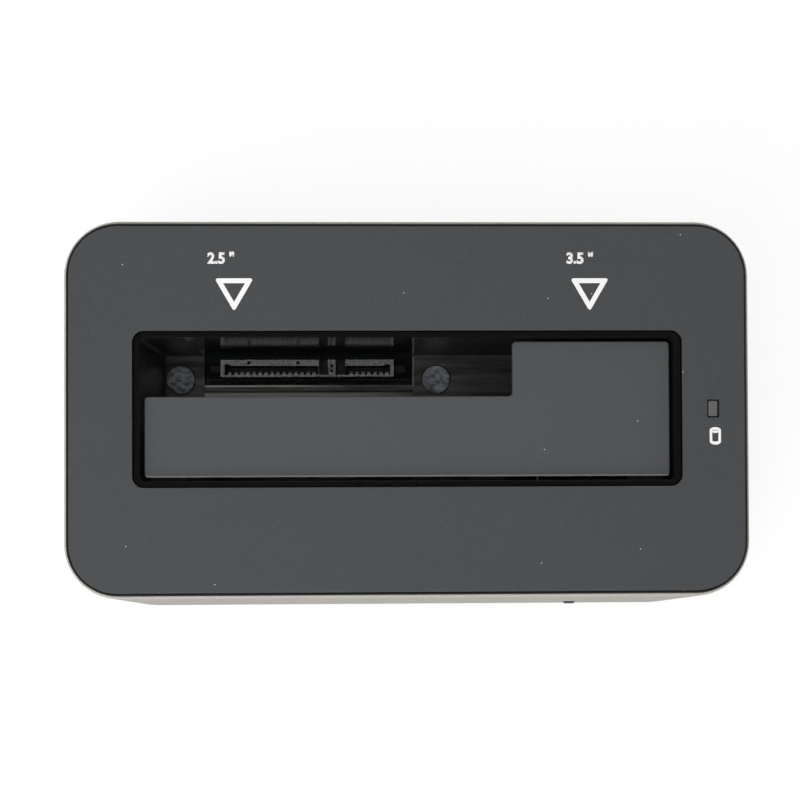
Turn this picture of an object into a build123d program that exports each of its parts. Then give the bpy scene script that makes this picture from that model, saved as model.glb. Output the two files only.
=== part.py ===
"""Hard drive docking station: one wide slot for a 3.5 or 2.5 inch drive, in millimetres.

The origin is on the surface that the feet rest on, under the middle of the case.
+X is right, +Y is the rear with the ports, and +Z is up. The slot runs along X.
"""
from build123d import *
import os
from math import atan2, cos, degrees, pi, sin

# Case
HEIGHT = 60.0
SIDE_MARGIN = 12.85
END_MARGIN = 20.85
COVER_CORNER = 10.0
COVER_THICKNESS = 2.0
COVER_ROUND = 0.9
RIM_STEP = 0.55
RIM_ROUND = 0.35
SHELL_FLARE = 4.8
SHELL_WALL = 2.5
SKIRT_DEPTH = 4.0
SKIRT_WALL = 1.2
CASE_CLEARANCE = 0.15
STAND_OFF = 1.0
PLATE_THICKNESS = 2.0
PLATE_LIP = 1.2
OVERRUN = 1.0
MERGE = 0.2

# Drives and the slot
DRIVE_WIDTH = 101.6
DRIVE_THICKNESS = 26.1
DRIVE_SIDE_ROOM = 0.8
DRIVE_THICKNESS_ROOM = 1.5
SMALL_DRIVE_WIDTH = 69.85
SMALL_DRIVE_THICKNESS = 9.5
SMALL_DRIVE_SIDE_ROOM = 1.2
SMALL_DRIVE_THICKNESS_ROOM = 1.7
CONNECTOR_EDGE = 30.12
SMALL_DRIVE_OFFSET = 4.8

# Drive well
WELL_WALL = 1.1
WELL_CORNER = 1.0
WELL_RECESS = 0.7
WELL_FIT = 0.1
WELL_FLOOR = 1.6
ROOF_THICKNESS = 1.0
POCKET_DEPTH = 3.9
POCKET_BOTTOM_CLEARANCE = 1.2
FLOOR_STEP = 4.8
CUTOUT_SIDE_GAP = 0.9
CUTOUT_FRONT = 6.15
LIP_WIDTH = 1.55
LIP_HEIGHT = 0.8
LIP_ROUND = 0.35
TAB_REACH = 4.3
TAB_Y = 9.0
TAB_RADIUS = 2.7
TAB_TOP_DROP = 8.0
TAB_THICKNESS = 1.5

# Flap and its hinge
FLAP_DROP = 3.0
FLAP_THICKNESS = 1.8
FLAP_SIDE_GAP = 0.7
FLAP_FRONT_GAP = 0.7
FLAP_REAR_GAP = 0.6
FLAP_CORNER = 0.8
FLAP_ROUND = 0.35
PIVOT_SETBACK = 2.0
PIVOT_DROP = 2.0
BARREL_RADIUS = 1.6
LUG_WIDTH = 7.0
LUG_END = 4.9
INNER_LUG_SHARE = 0.295
LUG_STOP_GAP = 0.06
BRACKET_WIDTH = 5.0
BRACKET_GAP = 0.5
BRACKET_RADIUS = 2.2
PIN_RADIUS = 0.75
PIN_RUNNING_FIT = 0.05
SPRING_WIRE = 0.5
SPRING_COIL_RADIUS = 1.25
SPRING_PITCH = 1.0
SPRING_TURNS = 5
SPRING_SIDE_GAP = 1.5
SPRING_LEG = 14.0
SPRING_ANCHOR = 0.5

# Receptacle at the bottom of the slot, measured from its own centre
RECEPTACLE_REAR = 3.4
RECEPTACLE_RISE = 8.0
POWER_END_WALL = 0.82
DATA_END_WALL = 0.76
RECEPTACLE_THICKNESS = 3.6
RECEPTACLE_REAR_WALL = 1.3
RECEPTACLE_FRONT_WALL = 0.4
CAVITY_DEPTH = 6.5
POWER_START_GAP = 1.03
POWER_END_GAP = 0.92
DATA_START_GAP = 1.13
DATA_END_GAP = 0.69
KEY_WIDTH = 1.2
KEY_DEPTH = 0.3
EAR_REACH = 3.25
EAR_THICKNESS = 3.0
EAR_DROP = 2.6
EAR_CHAMFER = 0.8
FOOT_HEIGHT = 3.0
FOOT_THICKNESS = 4.4
CORE_HOLE_XS = (-12.3, -2.0)
CORE_HOLE_RADIUS = 0.35
CORE_HOLE_DEPTH = 2.0
GROOVE_XS = (4.4, 6.05)
GROOVE_WIDTH = 0.16
PEG_RADIUS = 0.8
PEG_INSET = 1.2
PEG_CLEARANCE = 0.1
CONTACT_PITCH = 1.27
POWER_CONTACTS = 15
DATA_CONTACTS = 7
DATA_CONTACT_START = 9.18
CONTACT_WIDTH = 0.7
CONTACT_STOCK = 0.25
CONTACT_TOP_DROP = 0.8
CONTACT_BULGE = 0.55
CONTACT_BULGE_HEIGHT = 1.4
CONTACT_TAIL = 1.6
CONTACT_CLEARANCE = 0.05

# Rest pads on the floor of the well
PAD_RADIUS = 3.0
PAD_SIDE_GAP = 5.1
PAD_REAR = 5.3
PAD_HEIGHT = 1.6
PAD_SEAT_DEPTH = 0.8
PAD_SEAT_GAP = 0.2
PAD_ROUND = 0.3

# Main board
BOARD_GAP = 0.4
BOARD_THICKNESS = 1.6
BOARD_SIDE_MARGIN = 6.0
BOARD_END_MARGIN = 3.4
BOARD_REAR_GAP = 2.6
BOARD_REAR_MARGIN = 3.0
BOARD_FRONT_GAP = 2.0
BOARD_FRONT_HALF_WIDTH = 9.0
BOARD_LAMP_MARGIN = 3.4
BOARD_LAMP_HALF_DEPTH = 8.0
BOARD_POST_INSET = 7.6
BOARD_POST_GAP = 3.1
BOARD_POST_RADIUS = 3.0

# Screws and feet
SCREW_RADIUS = 1.45
SCREW_HOLE_CLEARANCE = 0.15
SCREW_PILOT_CLEARANCE = 0.04
SCREW_HEAD_RADIUS = 2.6
SCREW_HEAD_HEIGHT = 1.6
SCREW_HEAD_ROUND = 0.4
DRIVE_RECESS_DEPTH = 0.9
DRIVE_RECESS_LENGTH = 2.6
DRIVE_RECESS_WIDTH = 0.6
CASE_SCREW_INSET = 9.4
CASE_POST_RADIUS = 4.0
CASE_BOSS_RADIUS = 3.6
CASE_JOINT_Z = 20.0
CASE_SHELF = 6.0
CASE_SCREW_LENGTH = 14.0
COUNTERBORE_CLEARANCE = 0.4
BOARD_SCREW_LENGTH = 6.0
WELL_SCREW_RADIUS = 1.0
WELL_SCREW_HEAD_RADIUS = 2.0
WELL_SCREW_LENGTH = 6.4
FOOT_RADIUS = 4.5
FOOT_INSET_X = 22.1
FOOT_INSET_Y = 6.8
FOOT_SEAT_DEPTH = 0.8
FOOT_SEAT_CLEARANCE = 0.1
FOOT_CHAMFER = 0.4

# USB port, at the rear right
USB_SHARE = 0.362
USB_WIDTH = 12.0
USB_HEIGHT = 11.8
USB_LENGTH = 16.5
USB_RECESS = 0.28
USB_WALL = 0.35
USB_INSERT_CLEARANCE = 0.03
USB_OPENING_CLEARANCE = 0.3
USB_MOUTH_WIDTH = 8.45
USB_MOUTH_HEIGHT = 7.3
USB_MOUTH_DEPTH = 9.0
USB_MOUTH_CHAMFER = 1.3
USB_UPPER_WIDTH = 5.9
USB_UPPER_HEIGHT = 2.6
USB_MOUTH_SILL = 0.95
USB_TONGUE_WIDTH = 5.6
USB_TONGUE_HEIGHT = 3.2
USB_TONGUE_RISE = 2.0
USB_UPPER_TONGUE_WIDTH = 4.6
USB_UPPER_TONGUE_HEIGHT = 0.9
USB_UPPER_TONGUE_RISE = 8.9
USB_TONGUE_SETBACK = 0.8
USB_CONTACT_WIDTH = 0.6
USB_CONTACT_STOCK = 0.15
USB_CONTACT_LENGTH = 6.0
USB_CONTACT_PITCH = 2.5
USB_UPPER_CONTACTS = 5
USB_UPPER_CONTACT_PITCH = 0.9
USB_UPPER_CONTACT_WIDTH = 0.4
USB_CONTACT_BED = 0.02

# Power jack, beside the USB port
JACK_SHARE = 0.723
JACK_WIDTH = 9.0
JACK_HEIGHT = 11.0
JACK_LENGTH = 13.8
JACK_SHOULDER_GAP = 0.6
JACK_RECESS = 0.49
JACK_AXIS_RISE = 6.0
JACK_NOSE_RADIUS = 4.0
JACK_BORE_RADIUS = 3.0
JACK_BORE_DEPTH = 10.0
JACK_PIN_RADIUS = 1.05
JACK_PIN_SETBACK = 1.2
JACK_PIN_SEAT = 2.0
JACK_PIN_TIP = 0.5
JACK_OPENING_CLEARANCE = 0.2
JACK_SPRING_WIDTH = 2.4
JACK_SPRING_STOCK = 0.3
JACK_SPRING_LENGTH = 8.0

# Slide switch, low on the front
SWITCH_LEFT = 34.75
SWITCH_TRAVEL = 2.6
KNOB_WIDTH = 2.4
KNOB_HEIGHT = 1.4
KNOB_PROUD = 0.4
KNOB_CLEARANCE = 0.15
KNOB_ROUND = 0.25
SWITCH_BODY_WIDTH = 9.4
SWITCH_BODY_HEIGHT = 3.0
SWITCH_BODY_DEPTH = 4.2
SWITCH_BODY_WALL = 0.5
SWITCH_BODY_FRONT_GAP = 2.4
SLIDER_WIDTH = 4.2
SLIDER_CLEARANCE = 0.12

# Indicator
LAMP_INSET = 6.75
LAMP_Y = -0.1
WINDOW_WIDTH = 2.2
WINDOW_LENGTH = 3.4
PIPE_GAP = 0.22
PIPE_RECESS = 0.12
PIPE_ROUND = 0.2
PIPE_COLLAR = 0.9
PIPE_COLLAR_HEIGHT = 1.5
PIPE_LAMP_GAP = 0.35
SLEEVE_CLEARANCE = 0.15
SLEEVE_WALL = 1.0
SLEEVE_DEPTH = 6.0
LAMP_WIDTH = 1.6
LAMP_LENGTH = 3.0
LAMP_HEIGHT = 0.8

# Parts soldered on the rear of the board, with their places as shares of its half width
BRIDGE_SHARE = 0.021
BRIDGE_INSET = 6.5
BRIDGE_SIZE = 9.0
BRIDGE_HEIGHT = 1.0
MEMORY_SHARE = -0.417
MEMORY_GAP = 4.1
MEMORY_LENGTH = 5.0
MEMORY_WIDTH = 3.9
MEMORY_HEIGHT = 1.5
LEAD_PITCH = 1.27
LEAD_COUNT = 4
LEAD_REACH = 1.0
LEAD_WIDTH = 0.42
LEAD_STOCK = 0.2
LEAD_RISE = 0.7
CRYSTAL_SHARE = 0.179
CRYSTAL_GAP = 2.9
CRYSTAL_LENGTH = 5.0
CRYSTAL_WIDTH = 3.2
CRYSTAL_HEIGHT = 1.1
CRYSTAL_LID = 0.3
CRYSTAL_STEP = 0.4
REGULATOR_SHARES = (-0.579, -0.757)
REGULATOR_GAP = 3.0
REGULATOR_LENGTH = 6.5
REGULATOR_WIDTH = 3.5
REGULATOR_HEIGHT = 1.7
REGULATOR_TAB_WIDTH = 3.0
REGULATOR_TAB_LENGTH = 1.7
INDUCTOR_SHARES = (-0.728, -0.894)
INDUCTOR_INSET = 4.0
INDUCTOR_SIZE = 6.0
INDUCTOR_HEIGHT = 3.0
INDUCTOR_CORNER = 1.2
CAPACITOR_SHARES = (-0.553, -0.374, -0.196)
CAPACITOR_INSET = 4.0
CAPACITOR_RADIUS = 3.15
CAPACITOR_HEIGHT = 7.7
CAPACITOR_BASE = 6.6
CAPACITOR_BASE_HEIGHT = 1.0
CAPACITOR_BASE_CHAMFER = 1.2
CAPACITOR_ROUND = 0.5
CHIP_PART_LENGTH = 1.6
CHIP_PART_WIDTH = 0.8
CHIP_PART_HEIGHT = 0.6
CHIP_PART_ROWS = 2
CHIP_PART_COLUMNS = 6
CHIP_PART_STEP = 2.0
CHIP_PART_SHARE = -0.315
CHIP_PART_GAP = 2.1

# Levels and planes worked out from the sizes above
RIM_Z = HEIGHT - COVER_THICKNESS
WELL_TOP = HEIGHT - WELL_RECESS
ROOF_Z = RIM_Z - ROOF_THICKNESS
PLATE_TOP = STAND_OFF + PLATE_THICKNESS
WELL_HALF_WIDTH = DRIVE_WIDTH / 2 + DRIVE_SIDE_ROOM
WELL_HALF_DEPTH = (DRIVE_THICKNESS + DRIVE_THICKNESS_ROOM) / 2
WELL_SIDE = WELL_HALF_WIDTH + WELL_WALL
WELL_REAR = WELL_HALF_DEPTH + WELL_WALL
TAB_X = WELL_SIDE + TAB_REACH
COVER_WIDTH = 2 * (WELL_SIDE + SIDE_MARGIN)
COVER_DEPTH = 2 * (WELL_REAR + END_MARGIN)
RIM_WIDTH = COVER_WIDTH + 2 * RIM_STEP
RIM_DEPTH = COVER_DEPTH + 2 * RIM_STEP
RIM_CORNER = COVER_CORNER + RIM_STEP
BASE_WIDTH = RIM_WIDTH + 2 * SHELL_FLARE
BASE_DEPTH = RIM_DEPTH + 2 * SHELL_FLARE
BASE_CORNER = RIM_CORNER + SHELL_FLARE
CASE_SCREW_X = RIM_WIDTH / 2 - CASE_SCREW_INSET
CASE_SCREW_Y = RIM_DEPTH / 2 - CASE_SCREW_INSET
FOOT_X = RIM_WIDTH / 2 - FOOT_INSET_X
FOOT_Y = RIM_DEPTH / 2 - FOOT_INSET_Y
LAMP_X = COVER_WIDTH / 2 - LAMP_INSET

# The flap, its pivot and the pocket that it swings into
FLAP_TOP = HEIGHT - FLAP_DROP
FLAP_BOTTOM = FLAP_TOP - FLAP_THICKNESS
FLAP_HALF_WIDTH = WELL_HALF_WIDTH - FLAP_SIDE_GAP
FLAP_FRONT = -WELL_HALF_DEPTH + FLAP_FRONT_GAP
FLAP_REAR = WELL_HALF_DEPTH - FLAP_REAR_GAP
PIVOT_Y = -WELL_HALF_DEPTH - PIVOT_SETBACK
PIVOT_Z = FLAP_TOP - PIVOT_DROP
POCKET_BACK = -WELL_HALF_DEPTH - POCKET_DEPTH
POCKET_BOTTOM = PIVOT_Z - (FLAP_REAR - PIVOT_Y) - POCKET_BOTTOM_CLEARANCE
FLOOR_Z = POCKET_BOTTOM - FLOOR_STEP
OUTER_LUG_X = FLAP_HALF_WIDTH - LUG_END
INNER_LUG_X = INNER_LUG_SHARE * FLAP_HALF_WIDTH
LUG_XS = (-OUTER_LUG_X, -INNER_LUG_X, INNER_LUG_X, OUTER_LUG_X)
BRACKET_STEP = (LUG_WIDTH + BRACKET_WIDTH) / 2 + BRACKET_GAP
BRACKET_XS = (BRACKET_STEP - OUTER_LUG_X, BRACKET_STEP - INNER_LUG_X,
              INNER_LUG_X - BRACKET_STEP, OUTER_LUG_X - BRACKET_STEP)
SPRING_X = INNER_LUG_X + LUG_WIDTH / 2 + SPRING_SIDE_GAP

# The receptacle, the pads and the small drive's notch in the flap
CONNECTOR_X = CONNECTOR_EDGE - DRIVE_WIDTH / 2
CONNECTOR_Y = WELL_HALF_DEPTH - RECEPTACLE_REAR
CONNECTOR_Z = FLOOR_Z + RECEPTACLE_RISE
DATA_CAVITY_START = DATA_CONTACT_START - DATA_START_GAP
DATA_CAVITY_END = DATA_CONTACT_START + (DATA_CONTACTS - 1) * CONTACT_PITCH + DATA_END_GAP
RECEPTACLE_WIDTH = 2 * (DATA_CAVITY_END + DATA_END_WALL)
POWER_CAVITY_START = POWER_END_WALL - RECEPTACLE_WIDTH / 2
POWER_CONTACT_START = POWER_CAVITY_START + POWER_START_GAP
POWER_CAVITY_END = POWER_CONTACT_START + (POWER_CONTACTS - 1) * CONTACT_PITCH + POWER_END_GAP
EAR_SPAN = RECEPTACLE_WIDTH + 2 * EAR_REACH
CUTOUT_WIDTH = EAR_SPAN + 2 * CUTOUT_SIDE_GAP
PEG_X = EAR_SPAN / 2 - PEG_INSET
PAD_X = CUTOUT_WIDTH / 2 + PAD_SIDE_GAP
NOTCH_X = CONNECTOR_X + SMALL_DRIVE_OFFSET + SMALL_DRIVE_WIDTH / 2 + SMALL_DRIVE_SIDE_ROOM
NOTCH_Y = WELL_HALF_DEPTH - SMALL_DRIVE_THICKNESS - SMALL_DRIVE_THICKNESS_ROOM

# The board, which lies close under the floor of the well
BOARD_TOP = FLOOR_Z - WELL_FLOOR - BOARD_GAP
BOARD_BOTTOM = BOARD_TOP - BOARD_THICKNESS
BOARD_POST_X = WELL_HALF_WIDTH - BOARD_POST_INSET
BOARD_POST_Y = WELL_REAR + BOARD_POST_GAP
BOARD_HALF_WIDTH = BOARD_POST_X + BOARD_SIDE_MARGIN
BOARD_HALF_DEPTH = BOARD_POST_Y + BOARD_END_MARGIN
BOARD_REAR_HALF_WIDTH = BOARD_POST_X + BOARD_REAR_MARGIN
USB_X = USB_SHARE * BOARD_REAR_HALF_WIDTH
JACK_X = JACK_SHARE * BOARD_REAR_HALF_WIDTH
SWITCH_Z = BOARD_BOTTOM - SWITCH_BODY_HEIGHT / 2
SWITCH_MIDDLE = SWITCH_LEFT + (KNOB_WIDTH + SWITCH_TRAVEL) / 2


def wall_y(z):
    """How far the outside of the case stands from the middle along Y at a height."""
    return RIM_DEPTH / 2 + SHELL_FLARE * (RIM_Z - z) / (RIM_Z - STAND_OFF)


# Planes that follow the slanted front and rear walls of the case
BOARD_REAR = wall_y(BOARD_TOP) - SHELL_WALL - BOARD_REAR_GAP
BOARD_FRONT = -wall_y(BOARD_TOP) + SHELL_WALL + BOARD_FRONT_GAP
SWITCH_FRONT = -wall_y(BOARD_TOP) + SHELL_WALL + SWITCH_BODY_FRONT_GAP
USB_FACE_Y = wall_y(BOARD_TOP + USB_HEIGHT) - USB_RECESS
JACK_FACE_Y = wall_y(BOARD_TOP + JACK_AXIS_RISE) - JACK_RECESS
JACK_SHOULDER_Y = wall_y(BOARD_TOP + JACK_HEIGHT) - SHELL_WALL - JACK_SHOULDER_GAP
JACK_BACK_Y = JACK_SHOULDER_Y - JACK_LENGTH


def block(x0, x1, y0, y1, z0, z1):
    """A box between two opposite corners."""
    middle = Pos((x0 + x1) / 2, (y0 + y1) / 2, (z0 + z1) / 2)
    return middle * Box(x1 - x0, y1 - y0, z1 - z0)


def brick(x, y, z0, z1, width, depth):
    """A box that stands on z0 with its middle at x, y."""
    return block(x - width / 2, x + width / 2, y - depth / 2, y + depth / 2, z0, z1)


def post(x, y, z0, z1, radius):
    """An upright cylinder."""
    return Pos(x, y, (z0 + z1) / 2) * Cylinder(radius, z1 - z0)


def rod_x(x0, x1, y, z, radius):
    """A cylinder that lies along X."""
    return Pos((x0 + x1) / 2, y, z) * Rot(0, 90, 0) * Cylinder(radius, x1 - x0)


def rod_y(x, z, y0, y1, radius):
    """A cylinder that lies along Y."""
    return Pos(x, (y0 + y1) / 2, z) * Rot(90, 0, 0) * Cylinder(radius, y1 - y0)


def slab(width, depth, corner, z0, z1):
    """A plate with rounded corners, centred on the Z axis."""
    return extrude(Pos(0, 0, z0) * RectangleRounded(width, depth, corner), z1 - z0)


def tapered(inset, z0, z1):
    """The flared form of the case, drawn in by inset all round, between two heights."""
    grown = SHELL_FLARE * (RIM_Z - z0) / (RIM_Z - STAND_OFF) - inset
    outline = RectangleRounded(RIM_WIDTH + 2 * grown, RIM_DEPTH + 2 * grown, RIM_CORNER + grown)
    draft = degrees(atan2(SHELL_FLARE, RIM_Z - STAND_OFF))
    return extrude(Pos(0, 0, z0) * outline, z1 - z0, taper=draft)


def corners(x, y):
    """The four places that mirror one place in X and Y."""
    return [(sx * x, sy * y) for sx in (-1, 1) for sy in (-1, 1)]


def screw(x, y, head_z, length, radius, head_radius, up):
    """A pan head screw whose head bears at head_z, with its point up or down."""
    shank = post(0, 0, -MERGE, length, radius)
    head = post(0, 0, -SCREW_HEAD_HEIGHT, 0, head_radius)
    head = fillet(head.edges().group_by(Axis.Z)[0], SCREW_HEAD_ROUND)
    recess_top = -SCREW_HEAD_HEIGHT + DRIVE_RECESS_DEPTH
    for turn in (0, 90):
        arm = block(-DRIVE_RECESS_LENGTH / 2, DRIVE_RECESS_LENGTH / 2, -DRIVE_RECESS_WIDTH / 2,
                    DRIVE_RECESS_WIDTH / 2, -SCREW_HEAD_HEIGHT - OVERRUN, recess_top)
        head -= Rot(0, 0, turn) * arm
    return Pos(x, y, head_z) * Rot(0 if up else 180, 0, 0) * (head + shank)


def outer_shell():
    """The flared case wall, open at the top and the bottom."""
    body = tapered(0, STAND_OFF, RIM_Z)
    body = fillet(body.edges().group_by(Axis.Z)[-1], RIM_ROUND)
    body -= tapered(SHELL_WALL, PLATE_TOP, RIM_Z + OVERRUN)
    body -= slab(BASE_WIDTH - 2 * PLATE_LIP, BASE_DEPTH - 2 * PLATE_LIP,
                 BASE_CORNER - PLATE_LIP, STAND_OFF - OVERRUN, PLATE_TOP)
    usb_half = USB_WIDTH / 2 + USB_OPENING_CLEARANCE
    body -= block(USB_X - usb_half, USB_X + usb_half, wall_y(RIM_Z) - SHELL_WALL,
                  BASE_DEPTH / 2 + OVERRUN, BOARD_TOP - USB_OPENING_CLEARANCE,
                  BOARD_TOP + USB_HEIGHT + USB_OPENING_CLEARANCE)
    body -= rod_y(JACK_X, BOARD_TOP + JACK_AXIS_RISE, wall_y(RIM_Z) - SHELL_WALL,
                  BASE_DEPTH / 2 + OVERRUN, JACK_NOSE_RADIUS + JACK_OPENING_CLEARANCE)
    knob_half = KNOB_HEIGHT / 2 + KNOB_CLEARANCE
    body -= block(SWITCH_LEFT - KNOB_CLEARANCE,
                  SWITCH_LEFT + KNOB_WIDTH + SWITCH_TRAVEL + KNOB_CLEARANCE,
                  -BASE_DEPTH / 2 - OVERRUN, -wall_y(RIM_Z) + SHELL_WALL,
                  SWITCH_Z - knob_half, SWITCH_Z + knob_half)
    return body


def top_cover():
    """The matte top plate with its skirt, bosses and the slot opening."""
    plate = slab(COVER_WIDTH, COVER_DEPTH, COVER_CORNER, RIM_Z, HEIGHT)
    plate = fillet(plate.edges().group_by(Axis.Z)[-1], COVER_ROUND)
    inset = SHELL_WALL + CASE_CLEARANCE
    skirt = slab(RIM_WIDTH - 2 * inset, RIM_DEPTH - 2 * inset, RIM_CORNER - inset,
                 RIM_Z - SKIRT_DEPTH, RIM_Z + MERGE)
    inset += SKIRT_WALL
    skirt -= slab(RIM_WIDTH - 2 * inset, RIM_DEPTH - 2 * inset, RIM_CORNER - inset,
                  RIM_Z - SKIRT_DEPTH - OVERRUN, RIM_Z)
    body = plate + skirt
    for x, y in corners(CASE_SCREW_X, CASE_SCREW_Y):
        body += post(x, y, CASE_JOINT_Z, RIM_Z + MERGE, CASE_BOSS_RADIUS)
    for x, y in corners(TAB_X, TAB_Y):
        body += post(x, y, RIM_Z - TAB_TOP_DROP + ROOF_THICKNESS, RIM_Z + MERGE, TAB_RADIUS)
    collar = PIPE_COLLAR + SLEEVE_CLEARANCE
    sleeve_width = WINDOW_WIDTH + 2 * collar
    sleeve_length = WINDOW_LENGTH + 2 * collar
    sleeve = brick(LAMP_X, LAMP_Y, RIM_Z - SLEEVE_DEPTH, RIM_Z + MERGE,
                   sleeve_width + 2 * SLEEVE_WALL, sleeve_length + 2 * SLEEVE_WALL)
    sleeve -= brick(LAMP_X, LAMP_Y, RIM_Z - SLEEVE_DEPTH - OVERRUN, RIM_Z,
                    sleeve_width, sleeve_length)
    body += sleeve
    body -= slab(2 * (WELL_SIDE + WELL_FIT), 2 * (WELL_REAR + WELL_FIT),
                 WELL_CORNER + WELL_WALL + WELL_FIT,
                 RIM_Z - OVERRUN, HEIGHT + OVERRUN)
    body -= brick(LAMP_X, LAMP_Y, RIM_Z - OVERRUN, HEIGHT + OVERRUN,
                  WINDOW_WIDTH, WINDOW_LENGTH)
    for x, y in corners(CASE_SCREW_X, CASE_SCREW_Y):
        body -= post(x, y, CASE_JOINT_Z - OVERRUN, CASE_JOINT_Z + CASE_SCREW_LENGTH - CASE_SHELF
                     + OVERRUN, SCREW_RADIUS + SCREW_PILOT_CLEARANCE)
    for x, y in corners(TAB_X, TAB_Y):
        body -= post(x, y, RIM_Z - TAB_TOP_DROP, RIM_Z,
                     WELL_SCREW_RADIUS + SCREW_PILOT_CLEARANCE)
    return body


def base_plate():
    """The floor of the case, with posts for the case screws and for the board."""
    inset = PLATE_LIP + CASE_CLEARANCE
    body = slab(BASE_WIDTH - 2 * inset, BASE_DEPTH - 2 * inset, BASE_CORNER - inset,
                STAND_OFF, PLATE_TOP)
    for x, y in corners(CASE_SCREW_X, CASE_SCREW_Y):
        body += post(x, y, PLATE_TOP - MERGE, CASE_JOINT_Z, CASE_POST_RADIUS)
    for x, y in corners(BOARD_POST_X, BOARD_POST_Y):
        body += post(x, y, PLATE_TOP - MERGE, BOARD_BOTTOM, BOARD_POST_RADIUS)
    for x, y in corners(CASE_SCREW_X, CASE_SCREW_Y):
        body -= post(x, y, STAND_OFF - OVERRUN, CASE_JOINT_Z - CASE_SHELF,
                     SCREW_HEAD_RADIUS + COUNTERBORE_CLEARANCE)
        body -= post(x, y, STAND_OFF, CASE_JOINT_Z + OVERRUN,
                     SCREW_RADIUS + SCREW_HOLE_CLEARANCE)
    for x, y in corners(BOARD_POST_X, BOARD_POST_Y):
        body -= post(x, y, BOARD_TOP - BOARD_SCREW_LENGTH - OVERRUN, BOARD_BOTTOM + OVERRUN,
                     SCREW_RADIUS + SCREW_PILOT_CLEARANCE)
    for x, y in corners(FOOT_X, FOOT_Y):
        body -= post(x, y, STAND_OFF - OVERRUN, STAND_OFF + FOOT_SEAT_DEPTH,
                     FOOT_RADIUS + FOOT_SEAT_CLEARANCE)
    return body


def rubber_feet():
    """Four round feet pressed into the base plate."""
    feet = []
    for x, y in corners(FOOT_X, FOOT_Y):
        foot = post(x, y, 0, STAND_OFF + FOOT_SEAT_DEPTH, FOOT_RADIUS)
        feet.append(chamfer(foot.edges().group_by(Axis.Z)[0], FOOT_CHAMFER))
    return feet


def drive_well():
    """The glossy liner of the slot, with the pocket that takes the open flap."""
    body = slab(2 * WELL_SIDE, 2 * WELL_REAR, WELL_CORNER + WELL_WALL,
                FLOOR_Z - WELL_FLOOR, WELL_TOP)
    body += block(-WELL_SIDE, WELL_SIDE, POCKET_BACK - WELL_WALL, -WELL_HALF_DEPTH,
                  POCKET_BOTTOM - WELL_WALL, RIM_Z)
    body -= slab(2 * WELL_HALF_WIDTH, 2 * WELL_HALF_DEPTH, WELL_CORNER,
                 FLOOR_Z, WELL_TOP + OVERRUN)
    body -= block(-WELL_HALF_WIDTH, WELL_HALF_WIDTH, POCKET_BACK, -WELL_HALF_DEPTH + MERGE,
                  POCKET_BOTTOM, ROOF_Z)
    lip_front = CONNECTOR_Y - CUTOUT_FRONT + WELL_FLOOR
    lip = block(CONNECTOR_X - CUTOUT_WIDTH / 2, CONNECTOR_X + CUTOUT_WIDTH / 2,
                lip_front, lip_front + LIP_WIDTH, FLOOR_Z - MERGE, FLOOR_Z + LIP_HEIGHT)
    body += fillet(lip.edges().filter_by(Axis.X).group_by(Axis.Z)[-1], LIP_ROUND)
    body -= block(CONNECTOR_X - CUTOUT_WIDTH / 2, CONNECTOR_X + CUTOUT_WIDTH / 2,
                  lip_front + LIP_WIDTH, WELL_HALF_DEPTH,
                  FLOOR_Z - WELL_FLOOR - OVERRUN, FLOOR_Z + OVERRUN)
    for x in (-PAD_X, PAD_X):
        body -= post(CONNECTOR_X + x, WELL_HALF_DEPTH - PAD_REAR, FLOOR_Z - PAD_SEAT_DEPTH,
                     FLOOR_Z + OVERRUN, PAD_RADIUS + PAD_SEAT_GAP)
    tab_top = RIM_Z - TAB_TOP_DROP + ROOF_THICKNESS
    for x, y in corners(TAB_X, TAB_Y):
        inner = (WELL_SIDE - MERGE) * x / TAB_X
        body += post(x, y, tab_top - TAB_THICKNESS, tab_top, TAB_RADIUS)
        body += block(min(inner, x), max(inner, x), y - TAB_RADIUS, y + TAB_RADIUS,
                      tab_top - TAB_THICKNESS, tab_top)
        body -= post(x, y, tab_top - TAB_THICKNESS - OVERRUN, tab_top + OVERRUN,
                     WELL_SCREW_RADIUS + SCREW_HOLE_CLEARANCE)
    for x in BRACKET_XS:
        left = x - BRACKET_WIDTH / 2
        right = x + BRACKET_WIDTH / 2
        bracket = rod_x(left, right, PIVOT_Y, PIVOT_Z, BRACKET_RADIUS)
        bracket += block(left, right, POCKET_BACK - MERGE, PIVOT_Y,
                         PIVOT_Z - BRACKET_RADIUS, ROOF_Z + MERGE)
        bracket += block(left, right, PIVOT_Y, PIVOT_Y + BARREL_RADIUS, PIVOT_Z, ROOF_Z + MERGE)
        body += bracket
    body -= rod_x(-WELL_SIDE - OVERRUN, WELL_SIDE + OVERRUN, PIVOT_Y, PIVOT_Z, PIN_RADIUS)
    anchor_y = PIVOT_Y - SPRING_COIL_RADIUS
    body -= post(SPRING_X, anchor_y, ROOF_Z - OVERRUN, RIM_Z + OVERRUN, SPRING_WIRE)
    return body


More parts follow.
